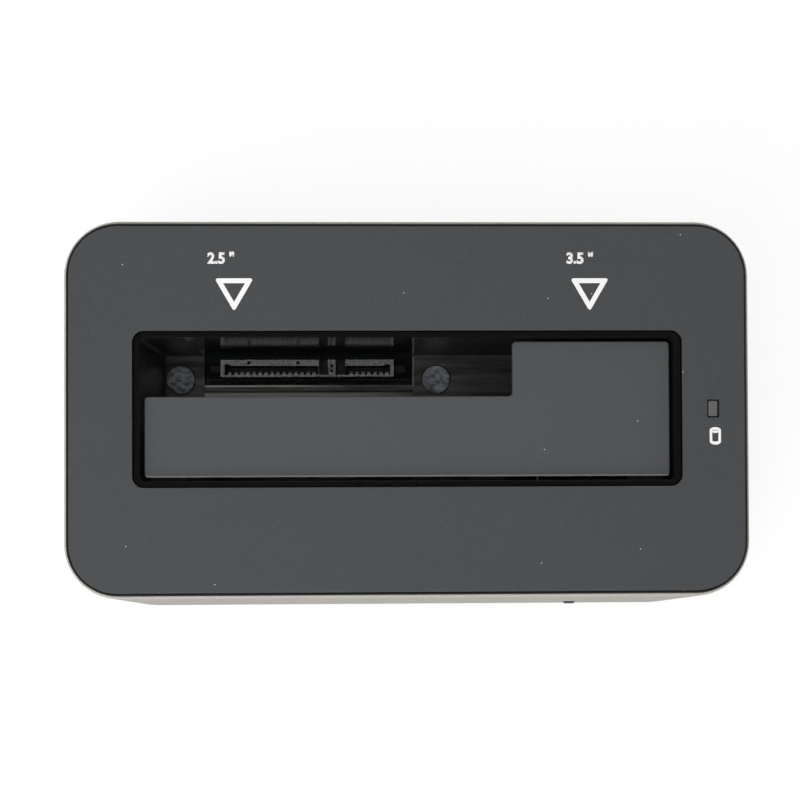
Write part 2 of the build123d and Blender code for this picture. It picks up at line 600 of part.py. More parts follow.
def flap_door():
    """The L-shaped flap that closes the wide part of the slot and swings down on its pin."""
    points = [(-FLAP_HALF_WIDTH, FLAP_FRONT), (FLAP_HALF_WIDTH, FLAP_FRONT),
              (FLAP_HALF_WIDTH, FLAP_REAR), (NOTCH_X, FLAP_REAR), (NOTCH_X, NOTCH_Y),
              (-FLAP_HALF_WIDTH, NOTCH_Y)]
    outline = make_face(Polyline(points, close=True))
    outline = fillet(outline.vertices(), FLAP_CORNER)
    panel = extrude(Pos(0, 0, FLAP_BOTTOM) * outline, FLAP_THICKNESS)
    body = fillet(panel.edges().group_by(Axis.Z)[-1], FLAP_ROUND)
    for x in LUG_XS:
        left = x - LUG_WIDTH / 2
        right = x + LUG_WIDTH / 2
        body += rod_x(left, right, PIVOT_Y, PIVOT_Z, BARREL_RADIUS)
        body += block(left, right, PIVOT_Y, FLAP_FRONT + FLAP_THICKNESS,
                      PIVOT_Z - BARREL_RADIUS / 2, FLAP_BOTTOM + MERGE)
        body += block(left, right, PIVOT_Y, FLAP_FRONT + FLAP_ROUND,
                      PIVOT_Z, ROOF_Z - LUG_STOP_GAP)
    body -= rod_x(-FLAP_HALF_WIDTH - OVERRUN, FLAP_HALF_WIDTH + OVERRUN, PIVOT_Y, PIVOT_Z,
                  PIN_RADIUS + PIN_RUNNING_FIT)
    return body


def flap_hinge_pin():
    """The steel pin that runs through the well, its brackets and the flap's lugs."""
    return rod_x(-WELL_SIDE, WELL_SIDE, PIVOT_Y, PIVOT_Z, PIN_RADIUS)


def flap_spring():
    """The torsion spring round the hinge pin: one leg in the roof, one under the flap."""
    reach = SPRING_LEG
    rise = SPRING_COIL_RADIUS + FLAP_BOTTOM - PIVOT_Z - SPRING_WIRE
    slope = atan2(rise, reach)
    start = pi
    sweep_angle = 2 * pi * SPRING_TURNS + pi / 2 + slope
    arcs = 4 * SPRING_TURNS + 1

    def place(share):
        angle = start + sweep_angle * share
        x = SPRING_X + SPRING_PITCH * sweep_angle * share / (2 * pi)
        return Vector(x, PIVOT_Y + SPRING_COIL_RADIUS * cos(angle),
                      PIVOT_Z + SPRING_COIL_RADIUS * sin(angle))

    first = place(0)
    last = place(1)
    pieces = [Line(Vector(first.X, first.Y, ROOF_Z + SPRING_ANCHOR), first)]
    for number in range(arcs):
        pieces.append(ThreePointArc(place(number / arcs), place((number + 0.5) / arcs),
                                    place((number + 1) / arcs)))
    pieces.append(Line(last, last + Vector(0, reach, reach * sin(slope))))
    path = Wire(pieces)
    profile = Plane(origin=pieces[0] @ 0, z_dir=pieces[0] % 0) * Circle(SPRING_WIRE / 2)
    return sweep(profile, path=path)


def sata_receptacle():
    """The upright drive receptacle: two keyed cavities, side ears and two board pegs."""
    half = RECEPTACLE_WIDTH / 2
    front = -RECEPTACLE_THICKNESS / 2
    rear = RECEPTACLE_THICKNESS / 2
    body = block(-half, half, front, rear, BOARD_TOP, CONNECTOR_Z)
    ears = brick(0, 0, BOARD_TOP, CONNECTOR_Z - EAR_DROP, EAR_SPAN, EAR_THICKNESS)
    body += chamfer(ears.edges().group_by(Axis.Z)[-1], EAR_CHAMFER)
    body += brick(0, 0, BOARD_TOP, BOARD_TOP + FOOT_HEIGHT, EAR_SPAN, FOOT_THICKNESS)
    cavity_bottom = CONNECTOR_Z - CAVITY_DEPTH
    cavity_front = front + RECEPTACLE_FRONT_WALL
    cavity_rear = rear - RECEPTACLE_REAR_WALL
    for start, end, key in ((POWER_CAVITY_START, POWER_CAVITY_END, POWER_CAVITY_START),
                            (DATA_CAVITY_START, DATA_CAVITY_END, DATA_CAVITY_END - KEY_WIDTH)):
        body -= block(start, end, cavity_front, cavity_rear, cavity_bottom,
                      CONNECTOR_Z + OVERRUN)
        body -= block(key, key + KEY_WIDTH, cavity_front, cavity_rear + KEY_DEPTH,
                      cavity_bottom, CONNECTOR_Z + OVERRUN)
    for x in CORE_HOLE_XS:
        body -= post(x, rear - RECEPTACLE_REAR_WALL / 2, CONNECTOR_Z - CORE_HOLE_DEPTH,
                     CONNECTOR_Z + OVERRUN, CORE_HOLE_RADIUS)
    for x in GROOVE_XS:
        body -= block(x - GROOVE_WIDTH / 2, x + GROOVE_WIDTH / 2, front - OVERRUN,
                      cavity_rear, CONNECTOR_Z - CORE_HOLE_DEPTH, CONNECTOR_Z + OVERRUN)
    for x in contact_xs(POWER_CONTACT_START, POWER_CONTACTS) + contact_xs(
            DATA_CONTACT_START, DATA_CONTACTS):
        room = CONTACT_WIDTH / 2 + CONTACT_CLEARANCE
        body -= block(x - room, x + room, cavity_front, cavity_front + CONTACT_STOCK
                      + CONTACT_CLEARANCE, BOARD_TOP - OVERRUN, cavity_bottom + MERGE)
        body -= block(x - room, x + room, -FOOT_THICKNESS / 2 - OVERRUN,
                      cavity_front + MERGE, BOARD_TOP - OVERRUN,
                      BOARD_TOP + CONTACT_STOCK + CONTACT_CLEARANCE)
    for x in (-PEG_X, PEG_X):
        body += post(x, 0, BOARD_BOTTOM, BOARD_TOP + MERGE, PEG_RADIUS)
    return Pos(CONNECTOR_X, CONNECTOR_Y, 0) * body


def contact_xs(start, count):
    """The places of a row of contacts, from the receptacle's centre."""
    return [start + CONTACT_PITCH * number for number in range(count)]


def sata_contacts(start, count):
    """A row of spring contacts, each with a bulge near its tip and a tail on the board."""
    back = -RECEPTACLE_THICKNESS / 2 + RECEPTACLE_FRONT_WALL
    tail = -FOOT_THICKNESS / 2 - CONTACT_TAIL
    tip = CONNECTOR_Z - CONTACT_TOP_DROP
    peak = tip - CONTACT_BULGE_HEIGHT
    root = peak - CONTACT_BULGE_HEIGHT
    low = BOARD_TOP + CONTACT_STOCK
    points = [(tail, BOARD_TOP), (back + CONTACT_STOCK, BOARD_TOP),
              (back + CONTACT_STOCK, root), (back + CONTACT_BULGE + CONTACT_STOCK, peak),
              (back + CONTACT_STOCK, tip), (back, tip), (back + CONTACT_BULGE, peak),
              (back, root), (back, low), (tail, low)]
    profile = Plane.YZ * make_face(Polyline(points, close=True))
    blade = extrude(profile, CONTACT_WIDTH / 2, both=True)
    return [Pos(CONNECTOR_X + x, CONNECTOR_Y, 0) * blade for x in contact_xs(start, count)]


def rest_pads():
    """Two rubber pads that the lower edge of a drive comes down on."""
    pads = []
    for x in (-PAD_X, PAD_X):
        bottom = FLOOR_Z - PAD_SEAT_DEPTH
        pad = post(CONNECTOR_X + x, WELL_HALF_DEPTH - PAD_REAR, bottom, bottom + PAD_HEIGHT,
                   PAD_RADIUS)
        pads.append(fillet(pad.edges().group_by(Axis.Z)[-1], PAD_ROUND))
    return pads


def main_board():
    """The circuit board, with tongues for the switch, the ports and the lamp."""
    body = block(-BOARD_HALF_WIDTH, BOARD_HALF_WIDTH, -BOARD_HALF_DEPTH, BOARD_HALF_DEPTH,
                 BOARD_BOTTOM, BOARD_TOP)
    body += block(BOARD_HALF_WIDTH - MERGE, LAMP_X + BOARD_LAMP_MARGIN,
                  LAMP_Y - BOARD_LAMP_HALF_DEPTH, LAMP_Y + BOARD_LAMP_HALF_DEPTH,
                  BOARD_BOTTOM, BOARD_TOP)
    body += block(-BOARD_REAR_HALF_WIDTH, BOARD_REAR_HALF_WIDTH, BOARD_HALF_DEPTH - MERGE,
                  BOARD_REAR, BOARD_BOTTOM, BOARD_TOP)
    body += block(SWITCH_MIDDLE - BOARD_FRONT_HALF_WIDTH, SWITCH_MIDDLE + BOARD_FRONT_HALF_WIDTH,
                  BOARD_FRONT, -BOARD_HALF_DEPTH + MERGE, BOARD_BOTTOM, BOARD_TOP)
    for x, y in corners(BOARD_POST_X, BOARD_POST_Y):
        body -= post(x, y, BOARD_BOTTOM - OVERRUN, BOARD_TOP + OVERRUN,
                     SCREW_RADIUS + SCREW_HOLE_CLEARANCE)
    for x in (-PEG_X, PEG_X):
        body -= post(CONNECTOR_X + x, CONNECTOR_Y, BOARD_BOTTOM - OVERRUN,
                     BOARD_TOP + OVERRUN, PEG_RADIUS + PEG_CLEARANCE)
    return body


def usb_port_shell():
    """The sheet metal can of the USB port, open at the rear face."""
    half = USB_WIDTH / 2
    back = USB_FACE_Y - USB_LENGTH
    body = block(USB_X - half, USB_X + half, back, USB_FACE_Y, BOARD_TOP, BOARD_TOP + USB_HEIGHT)
    half -= USB_WALL
    return body - block(USB_X - half, USB_X + half, back + USB_WALL, USB_FACE_Y + OVERRUN,
                        BOARD_TOP + USB_WALL, BOARD_TOP + USB_HEIGHT - USB_WALL)


def usb_mouth():
    """The outline of the plug's way in: a square with cut corners and a narrower top."""
    half = USB_MOUTH_WIDTH / 2
    upper = USB_UPPER_WIDTH / 2
    low = BOARD_TOP + USB_MOUTH_SILL
    shoulder = low + USB_MOUTH_HEIGHT
    top = shoulder + USB_UPPER_HEIGHT
    points = [(-half, low), (half, low), (half, shoulder - USB_MOUTH_CHAMFER),
              (upper, shoulder), (upper, top), (-upper, top), (-upper, shoulder),
              (-half, shoulder - USB_MOUTH_CHAMFER)]
    outline = Plane.XZ * make_face(Polyline(points, close=True))
    return Pos(USB_X, USB_FACE_Y + OVERRUN, 0) * extrude(outline, USB_MOUTH_DEPTH + OVERRUN)


def usb_port_insert():
    """The plastic body inside the USB port, with its two tongues."""
    inset = USB_WALL + USB_INSERT_CLEARANCE
    half = USB_WIDTH / 2 - inset
    back = USB_FACE_Y - USB_LENGTH + inset
    body = block(USB_X - half, USB_X + half, back, USB_FACE_Y, BOARD_TOP + inset,
                 BOARD_TOP + USB_HEIGHT - inset)
    body -= usb_mouth()
    low = BOARD_TOP + USB_MOUTH_SILL
    for width, height, rise in ((USB_TONGUE_WIDTH, USB_TONGUE_HEIGHT, USB_TONGUE_RISE),
                                (USB_UPPER_TONGUE_WIDTH, USB_UPPER_TONGUE_HEIGHT,
                                 USB_UPPER_TONGUE_RISE - USB_MOUTH_SILL)):
        body += block(USB_X - width / 2, USB_X + width / 2,
                      USB_FACE_Y - USB_MOUTH_DEPTH - MERGE, USB_FACE_Y - USB_TONGUE_SETBACK,
                      low + rise, low + rise + height)
    return body


def usb_port_contacts():
    """Four wide contacts on the lower tongue and five narrow ones on the upper."""
    tongue_low = BOARD_TOP + USB_MOUTH_SILL + USB_TONGUE_RISE
    upper_low = BOARD_TOP + USB_UPPER_TONGUE_RISE
    end = USB_FACE_Y - USB_TONGUE_SETBACK - USB_CONTACT_STOCK
    half_pitch = USB_CONTACT_PITCH / 2
    strips = []
    for x in (-half_pitch, half_pitch):
        for z in (tongue_low - USB_CONTACT_STOCK - USB_CONTACT_BED,
                  tongue_low + USB_TONGUE_HEIGHT + USB_CONTACT_BED):
            strips.append(block(USB_X + x - USB_CONTACT_WIDTH / 2,
                                USB_X + x + USB_CONTACT_WIDTH / 2, end - USB_CONTACT_LENGTH,
                                end, z, z + USB_CONTACT_STOCK))
    for number in range(USB_UPPER_CONTACTS):
        x = USB_X + (number - (USB_UPPER_CONTACTS - 1) / 2) * USB_UPPER_CONTACT_PITCH
        z = upper_low - USB_CONTACT_STOCK - USB_CONTACT_BED
        strips.append(block(x - USB_UPPER_CONTACT_WIDTH / 2, x + USB_UPPER_CONTACT_WIDTH / 2,
                            end - USB_CONTACT_LENGTH, end, z, z + USB_CONTACT_STOCK))
    return strips


def power_jack_body():
    """The moulded power jack, whose round nose fills the hole in the case."""
    axis_z = BOARD_TOP + JACK_AXIS_RISE
    body = block(JACK_X - JACK_WIDTH / 2, JACK_X + JACK_WIDTH / 2, JACK_BACK_Y,
                 JACK_SHOULDER_Y, BOARD_TOP, BOARD_TOP + JACK_HEIGHT)
    body += rod_y(JACK_X, axis_z, JACK_SHOULDER_Y - MERGE, JACK_FACE_Y, JACK_NOSE_RADIUS)
    floor_y = JACK_FACE_Y - JACK_BORE_DEPTH
    body -= rod_y(JACK_X, axis_z, floor_y, JACK_FACE_Y + OVERRUN, JACK_BORE_RADIUS)
    return body - rod_y(JACK_X, axis_z, floor_y - JACK_PIN_SEAT, floor_y + OVERRUN,
                        JACK_PIN_RADIUS)


def power_jack_pin():
    """The centre pin of the power jack."""
    start = JACK_FACE_Y - JACK_BORE_DEPTH - JACK_PIN_SEAT
    pin = rod_y(JACK_X, BOARD_TOP + JACK_AXIS_RISE, start, JACK_FACE_Y - JACK_PIN_SETBACK,
                JACK_PIN_RADIUS)
    return fillet(pin.edges().group_by(Axis.Y)[-1], JACK_PIN_TIP)


def power_jack_spring():
    """The leaf contact that lies along the bottom of the jack's bore."""
    bottom = BOARD_TOP + JACK_AXIS_RISE - JACK_BORE_RADIUS + JACK_SPRING_STOCK
    start = JACK_FACE_Y - JACK_BORE_DEPTH
    return block(JACK_X - JACK_SPRING_WIDTH / 2, JACK_X + JACK_SPRING_WIDTH / 2, start,
                 start + JACK_SPRING_LENGTH, bottom, bottom + JACK_SPRING_STOCK)


def switch_body():
    """The housing of the slide switch, hung under the front tongue of the board."""
    back = SWITCH_FRONT + SWITCH_BODY_DEPTH
    half = SWITCH_BODY_WIDTH / 2
    low = SWITCH_Z - SWITCH_BODY_HEIGHT / 2
    body = block(SWITCH_MIDDLE - half, SWITCH_MIDDLE + half, SWITCH_FRONT, back,
                 low, BOARD_BOTTOM)
    half -= SWITCH_BODY_WALL
    body -= block(SWITCH_MIDDLE - half, SWITCH_MIDDLE + half, SWITCH_FRONT + SWITCH_BODY_WALL,
                  back - SWITCH_BODY_WALL, low + SWITCH_BODY_WALL,
                  BOARD_BOTTOM - SWITCH_BODY_WALL)
    knob_half = KNOB_HEIGHT / 2 + KNOB_CLEARANCE
    half = (KNOB_WIDTH + SWITCH_TRAVEL) / 2 + KNOB_CLEARANCE
    return body - block(SWITCH_MIDDLE - half, SWITCH_MIDDLE + half, SWITCH_FRONT - OVERRUN,
                        SWITCH_FRONT + SWITCH_BODY_WALL + MERGE, SWITCH_Z - knob_half,
                        SWITCH_Z + knob_half)


def switch_knob():
    """The slider, with the knob that reaches through the front of the case."""
    front = -wall_y(SWITCH_Z) - KNOB_PROUD
    inner = SWITCH_FRONT + SWITCH_BODY_WALL + SLIDER_CLEARANCE
    middle = SWITCH_LEFT + KNOB_WIDTH / 2
    knob = block(SWITCH_LEFT, SWITCH_LEFT + KNOB_WIDTH, front, inner + MERGE,
                 SWITCH_Z - KNOB_HEIGHT / 2, SWITCH_Z + KNOB_HEIGHT / 2)
    knob = fillet(knob.edges().group_by(Axis.Y)[0], KNOB_ROUND)
    inset = SWITCH_BODY_WALL + SLIDER_CLEARANCE
    back = SWITCH_FRONT + SWITCH_BODY_DEPTH - inset
    return knob + block(middle - SLIDER_WIDTH / 2, middle + SLIDER_WIDTH / 2, inner, back,
                        SWITCH_Z - SWITCH_BODY_HEIGHT / 2 + inset,
                        SWITCH_Z + SWITCH_BODY_HEIGHT / 2 - inset)


def light_pipe():
    """The clear rod that carries the lamp's light up to the window in the cover."""
    width = WINDOW_WIDTH - 2 * PIPE_GAP
    length = WINDOW_LENGTH - 2 * PIPE_GAP
    rod = brick(LAMP_X, LAMP_Y, BOARD_TOP + LAMP_HEIGHT + PIPE_LAMP_GAP, HEIGHT - PIPE_RECESS,
                width, length)
    rod = fillet(rod.edges().group_by(Axis.Z)[-1], PIPE_ROUND)
    return rod + brick(LAMP_X, LAMP_Y, RIM_Z - PIPE_COLLAR_HEIGHT, RIM_Z,
                       WINDOW_WIDTH + 2 * PIPE_COLLAR, WINDOW_LENGTH + 2 * PIPE_COLLAR)


def board_x(share):
    """A place along X on the rear of the board, as a share of its half width."""
    return share * BOARD_REAR_HALF_WIDTH


def indicator_lamp():
    """The lamp on the board under the light pipe."""
    return brick(LAMP_X, LAMP_Y, BOARD_TOP, BOARD_TOP + LAMP_HEIGHT, LAMP_WIDTH, LAMP_LENGTH)


def bridge_chip():
    """The controller between the USB port and the drive."""
    return brick(board_x(BRIDGE_SHARE), BOARD_REAR - BRIDGE_INSET, BOARD_TOP,
                 BOARD_TOP + BRIDGE_HEIGHT, BRIDGE_SIZE, BRIDGE_SIZE)


def memory_chip():
    """A small chip with four leads on each long side."""
    centre = board_x(MEMORY_SHARE)
    middle = WELL_REAR + MEMORY_GAP
    body = brick(centre, middle, BOARD_TOP + LEAD_STOCK, BOARD_TOP + MEMORY_HEIGHT,
                 MEMORY_LENGTH, MEMORY_WIDTH)
    for number in range(LEAD_COUNT):
        x = centre + (number - (LEAD_COUNT - 1) / 2) * LEAD_PITCH
        for side in (-1, 1):
            root = middle + side * (MEMORY_WIDTH / 2 - MERGE)
            tip = middle + side * (MEMORY_WIDTH / 2 + LEAD_REACH)
            knee = tip - side * LEAD_REACH / 2
            upper = brick(x, (root + knee) / 2, BOARD_TOP + LEAD_RISE,
                          BOARD_TOP + LEAD_RISE + LEAD_STOCK, LEAD_WIDTH, abs(knee - root))
            drop = brick(x, knee, BOARD_TOP, BOARD_TOP + LEAD_RISE + LEAD_STOCK, LEAD_WIDTH,
                         LEAD_STOCK)
            foot = brick(x, (knee + tip) / 2, BOARD_TOP, BOARD_TOP + LEAD_STOCK, LEAD_WIDTH,
                         abs(tip - knee))
            body += upper + drop + foot
    return body


def crystal():
    """The metal can of the clock crystal on its base."""
    low = BOARD_TOP + CRYSTAL_HEIGHT - CRYSTAL_LID
    centre = board_x(CRYSTAL_SHARE)
    middle = WELL_REAR + CRYSTAL_GAP
    body = brick(centre, middle, BOARD_TOP, low, CRYSTAL_LENGTH, CRYSTAL_WIDTH)
    return body + brick(centre, middle, low, BOARD_TOP + CRYSTAL_HEIGHT,
                        CRYSTAL_LENGTH - CRYSTAL_STEP, CRYSTAL_WIDTH - CRYSTAL_STEP)


def regulator_chips():
    """Two voltage regulators, each with its cooling tab on the board."""
    chips = []
    middle = WELL_REAR + REGULATOR_GAP
    rear = middle + REGULATOR_WIDTH / 2
    for share in REGULATOR_SHARES:
        x = board_x(share)
        chip = brick(x, middle, BOARD_TOP, BOARD_TOP + REGULATOR_HEIGHT,
                     REGULATOR_LENGTH, REGULATOR_WIDTH)
        chip += block(x - REGULATOR_TAB_WIDTH / 2, x + REGULATOR_TAB_WIDTH / 2, rear - MERGE,
                      rear + REGULATOR_TAB_LENGTH, BOARD_TOP, BOARD_TOP + LEAD_STOCK)
        chips.append(chip)
    return chips


def inductors():
    """Two square power inductors with rounded corners."""
    coils = []
    for share in INDUCTOR_SHARES:
        place = Pos(board_x(share), BOARD_REAR - INDUCTOR_INSET, BOARD_TOP)
        outline = place * RectangleRounded(INDUCTOR_SIZE, INDUCTOR_SIZE, INDUCTOR_CORNER)
        coils.append(extrude(outline, INDUCTOR_HEIGHT))
    return coils


def electrolytic_capacitors():
    """Three round capacitors on their square bases."""
    cans = []
    y = BOARD_REAR - CAPACITOR_INSET
    for share in CAPACITOR_SHARES:
        x = board_x(share)
        base = brick(x, y, BOARD_TOP, BOARD_TOP + CAPACITOR_BASE_HEIGHT,
                     CAPACITOR_BASE, CAPACITOR_BASE)
        base = chamfer(base.edges().filter_by(Axis.Z).group_by(Axis.X)[0],
                       CAPACITOR_BASE_CHAMFER)
        can = post(x, y, BOARD_TOP + CAPACITOR_BASE_HEIGHT - MERGE,
                   BOARD_TOP + CAPACITOR_HEIGHT, CAPACITOR_RADIUS)
        can = fillet(can.edges().group_by(Axis.Z)[-1], CAPACITOR_ROUND)
        cans.append(base + can)
    return cans


def small_chip_parts():
    """A small field of chip resistors and capacitors beside the controller."""
    parts = []
    for row in range(CHIP_PART_ROWS):
        for column in range(CHIP_PART_COLUMNS):
            parts.append(brick(board_x(CHIP_PART_SHARE) + column * CHIP_PART_STEP,
                               WELL_REAR + CHIP_PART_GAP + row * CHIP_PART_STEP, BOARD_TOP,
                               BOARD_TOP + CHIP_PART_HEIGHT, CHIP_PART_LENGTH,
                               CHIP_PART_WIDTH))
    return parts


def case_screws():
    """Four screws that clamp the base plate to the cover with the shell between them."""
    head_z = CASE_JOINT_Z - CASE_SHELF
    return [screw(x, y, head_z, CASE_SCREW_LENGTH, SCREW_RADIUS, SCREW_HEAD_RADIUS, True)
            for x, y in corners(CASE_SCREW_X, CASE_SCREW_Y)]


def board_screws():
    """Four screws that hold the board on its posts."""
    return [screw(x, y, BOARD_TOP, BOARD_SCREW_LENGTH, SCREW_RADIUS, SCREW_HEAD_RADIUS, False)
            for x, y in corners(BOARD_POST_X, BOARD_POST_Y)]


def well_screws():
    """Four small screws that hold the well's tabs under the cover's bosses."""
    head_z = RIM_Z - TAB_TOP_DROP + ROOF_THICKNESS - TAB_THICKNESS
    return [screw(x, y, head_z, WELL_SCREW_LENGTH, WELL_SCREW_RADIUS, WELL_SCREW_HEAD_RADIUS,
                  True) for x, y in corners(TAB_X, TAB_Y)]


def sata_power_contacts():
    """The fifteen contacts of the power part."""
    return sata_contacts(POWER_CONTACT_START, POWER_CONTACTS)


def sata_data_contacts():
    """The seven contacts of the data part."""
    return sata_contacts(DATA_CONTACT_START, DATA_CONTACTS)


PIECES = (outer_shell, top_cover, base_plate, rubber_feet, drive_well, flap_door,
          flap_hinge_pin, flap_spring, sata_receptacle, sata_power_contacts,
          sata_data_contacts, rest_pads, main_board, usb_port_shell, usb_port_insert,
          usb_port_contacts, power_jack_body, power_jack_pin, power_jack_spring, switch_body,
          switch_knob, light_pipe, indicator_lamp, bridge_chip, memory_chip, crystal,
          regulator_chips, inductors, electrolytic_capacitors, small_chip_parts, case_screws,
          board_screws, well_screws)

os.makedirs("parts", exist_ok=True)
for piece in PIECES:
    shape = piece()
    if isinstance(shape, list):
        solids = [solid for item in shape for solid in item.solids()]
    else:
        solids = shape.solids()
    whole = solids[0] if len(solids) == 1 else Compound(children=solids)
    export_step(whole, f"parts/{piece.__name__}.step")
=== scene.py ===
"""Looks of a hard drive docking station: finishes, mouldings, printed marks and a stage."""
import math
from contextlib import contextmanager

import bmesh
import bpy
from bpy.props import FloatProperty, FloatVectorProperty, IntProperty, PointerProperty
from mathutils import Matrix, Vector


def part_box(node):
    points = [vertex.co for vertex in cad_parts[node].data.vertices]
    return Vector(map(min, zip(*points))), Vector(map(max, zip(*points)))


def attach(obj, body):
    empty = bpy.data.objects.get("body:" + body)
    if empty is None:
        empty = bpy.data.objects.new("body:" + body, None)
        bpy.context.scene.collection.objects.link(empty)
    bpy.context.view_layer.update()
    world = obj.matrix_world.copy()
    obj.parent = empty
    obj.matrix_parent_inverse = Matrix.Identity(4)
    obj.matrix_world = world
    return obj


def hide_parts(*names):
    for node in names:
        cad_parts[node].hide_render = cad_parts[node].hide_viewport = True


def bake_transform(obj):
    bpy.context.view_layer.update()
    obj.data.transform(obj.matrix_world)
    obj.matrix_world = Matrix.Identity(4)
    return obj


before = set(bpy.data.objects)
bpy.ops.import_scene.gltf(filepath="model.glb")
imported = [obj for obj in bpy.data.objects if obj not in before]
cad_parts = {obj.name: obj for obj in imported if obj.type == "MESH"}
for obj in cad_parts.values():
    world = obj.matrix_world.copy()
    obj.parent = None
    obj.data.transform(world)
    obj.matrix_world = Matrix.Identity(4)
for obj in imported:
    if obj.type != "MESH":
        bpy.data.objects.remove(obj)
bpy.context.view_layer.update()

bl_info = {
    "name": "Drive Dock Builder",
    "version": (1, 0, 0),
    "blender": (4, 5, 0),
    "location": "View3D > Sidebar > Drive Dock",
    "description": "Dresses the docking station's construction model and sets up its stage",
    "category": "Object",
}

MM = 0.001
MERGE = 0.0005 * MM  # vertices nearer than this are one in a construction node
SHADE_BLACK = (0.004, 0.004, 0.004, 1.0)  # near-black painted shade, for the dark band on the cover's edges, the gap by the flap's arms and the recess round the lens
SENSOR = 36.0  # width in mm that the lens's focal length is given for
DISC_SIDES = 64
POST_SIDES = 24
COVER_LOW, COVER_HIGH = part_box("top_cover")
LINER_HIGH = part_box("drive_well")[1]
LAMP_LOW, LAMP_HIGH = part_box("light_pipe")

# Name, place and side in metres, power in watts, and whether gloss shows the lamp.
LAMPS = (("front_slot_lamp", (-0.085, -0.08, 0.46), 0.20, 0.88, False),
         ("rear_slot_lamp", (-0.06, 0.085, 0.60), 0.12, 0.42, False),
         ("key_lamp", (-0.29, -0.38, 0.46), 0.45, 1.1, True),
         ("rear_lamp", (0.15, 0.55, 0.95), 0.8, 0.5, True),
         ("side_lamp", (0.75, -0.25, 0.45), 0.5, 0.5, True))


def length(name, description, value):
    """A size that a user may change, given in mm."""
    return FloatProperty(name=name, description=description, default=value * MM,
                         unit="LENGTH", precision=5)


def level(name, description, default):
    """A plain number that a user may change."""
    return FloatProperty(name=name, description=description, default=default)


def angle(name, description, degrees):
    """An angle that a user may change, given in degrees."""
    return FloatProperty(name=name, description=description, subtype="ANGLE",
                         default=math.radians(degrees))


def colour(name, description, default):
    """A colour that a user may change."""
    return FloatVectorProperty(name=name, description=description, default=default,
                               subtype="COLOR", size=3, min=0.0, max=1.0)


class DockMarks(bpy.types.PropertyGroup):
    """Sizes and places of the marks printed on the cover."""

    ink: length("Ink", "Thickness of the printed ink", 0.02)
    small_x: length("Small mark", "Middle of the small drive's arrow", -33.34)
    large_x: length("Large mark", "Middle of the large drive's arrow", 35.0)
    small_shift: length("Small number shift", "How far left of its arrow the number is", 2.5)
    large_shift: length("Large number shift", "How far left of its arrow the number is", 1.86)
    number_y: length("Number row", "Middle of the printed numbers", 29.02)
    number_height: length("Number height", "Height of the printed numbers", 2.35)
    number_width: length("Number width", "Width of the printed numbers", 5.15)
    arrow_y: length("Arrow row", "Middle of the arrows", 21.88)
    arrow_width: length("Arrow width", "Width of an arrow", 7.45)
    arrow_height: length("Arrow height", "Height of an arrow", 6.4)
    arrow_stroke: length("Arrow stroke", "Width of the arrow's line", 0.94)
    arrow_round: length("Arrow rounding", "Rounding of the arrow's corners", 0.65)
    symbol_width: length("Symbol width", "Width of the drum symbol", 2.2)
    symbol_height: length("Symbol height", "Height of the drum symbol", 3.4)
    symbol_cap: length("Symbol cap", "Height of the drum's round top", 1.3)
    symbol_stroke: length("Symbol stroke", "Line width of the drum symbol", 0.5)
    symbol_seam: length("Symbol seam", "Width of the gap under the drum's top", 0.1)
    symbol_drop: length("Symbol drop", "From the window's middle to the symbol's", 5.3)
    symbol_shift: length("Symbol shift", "How far right of the window the symbol is", 0.38)


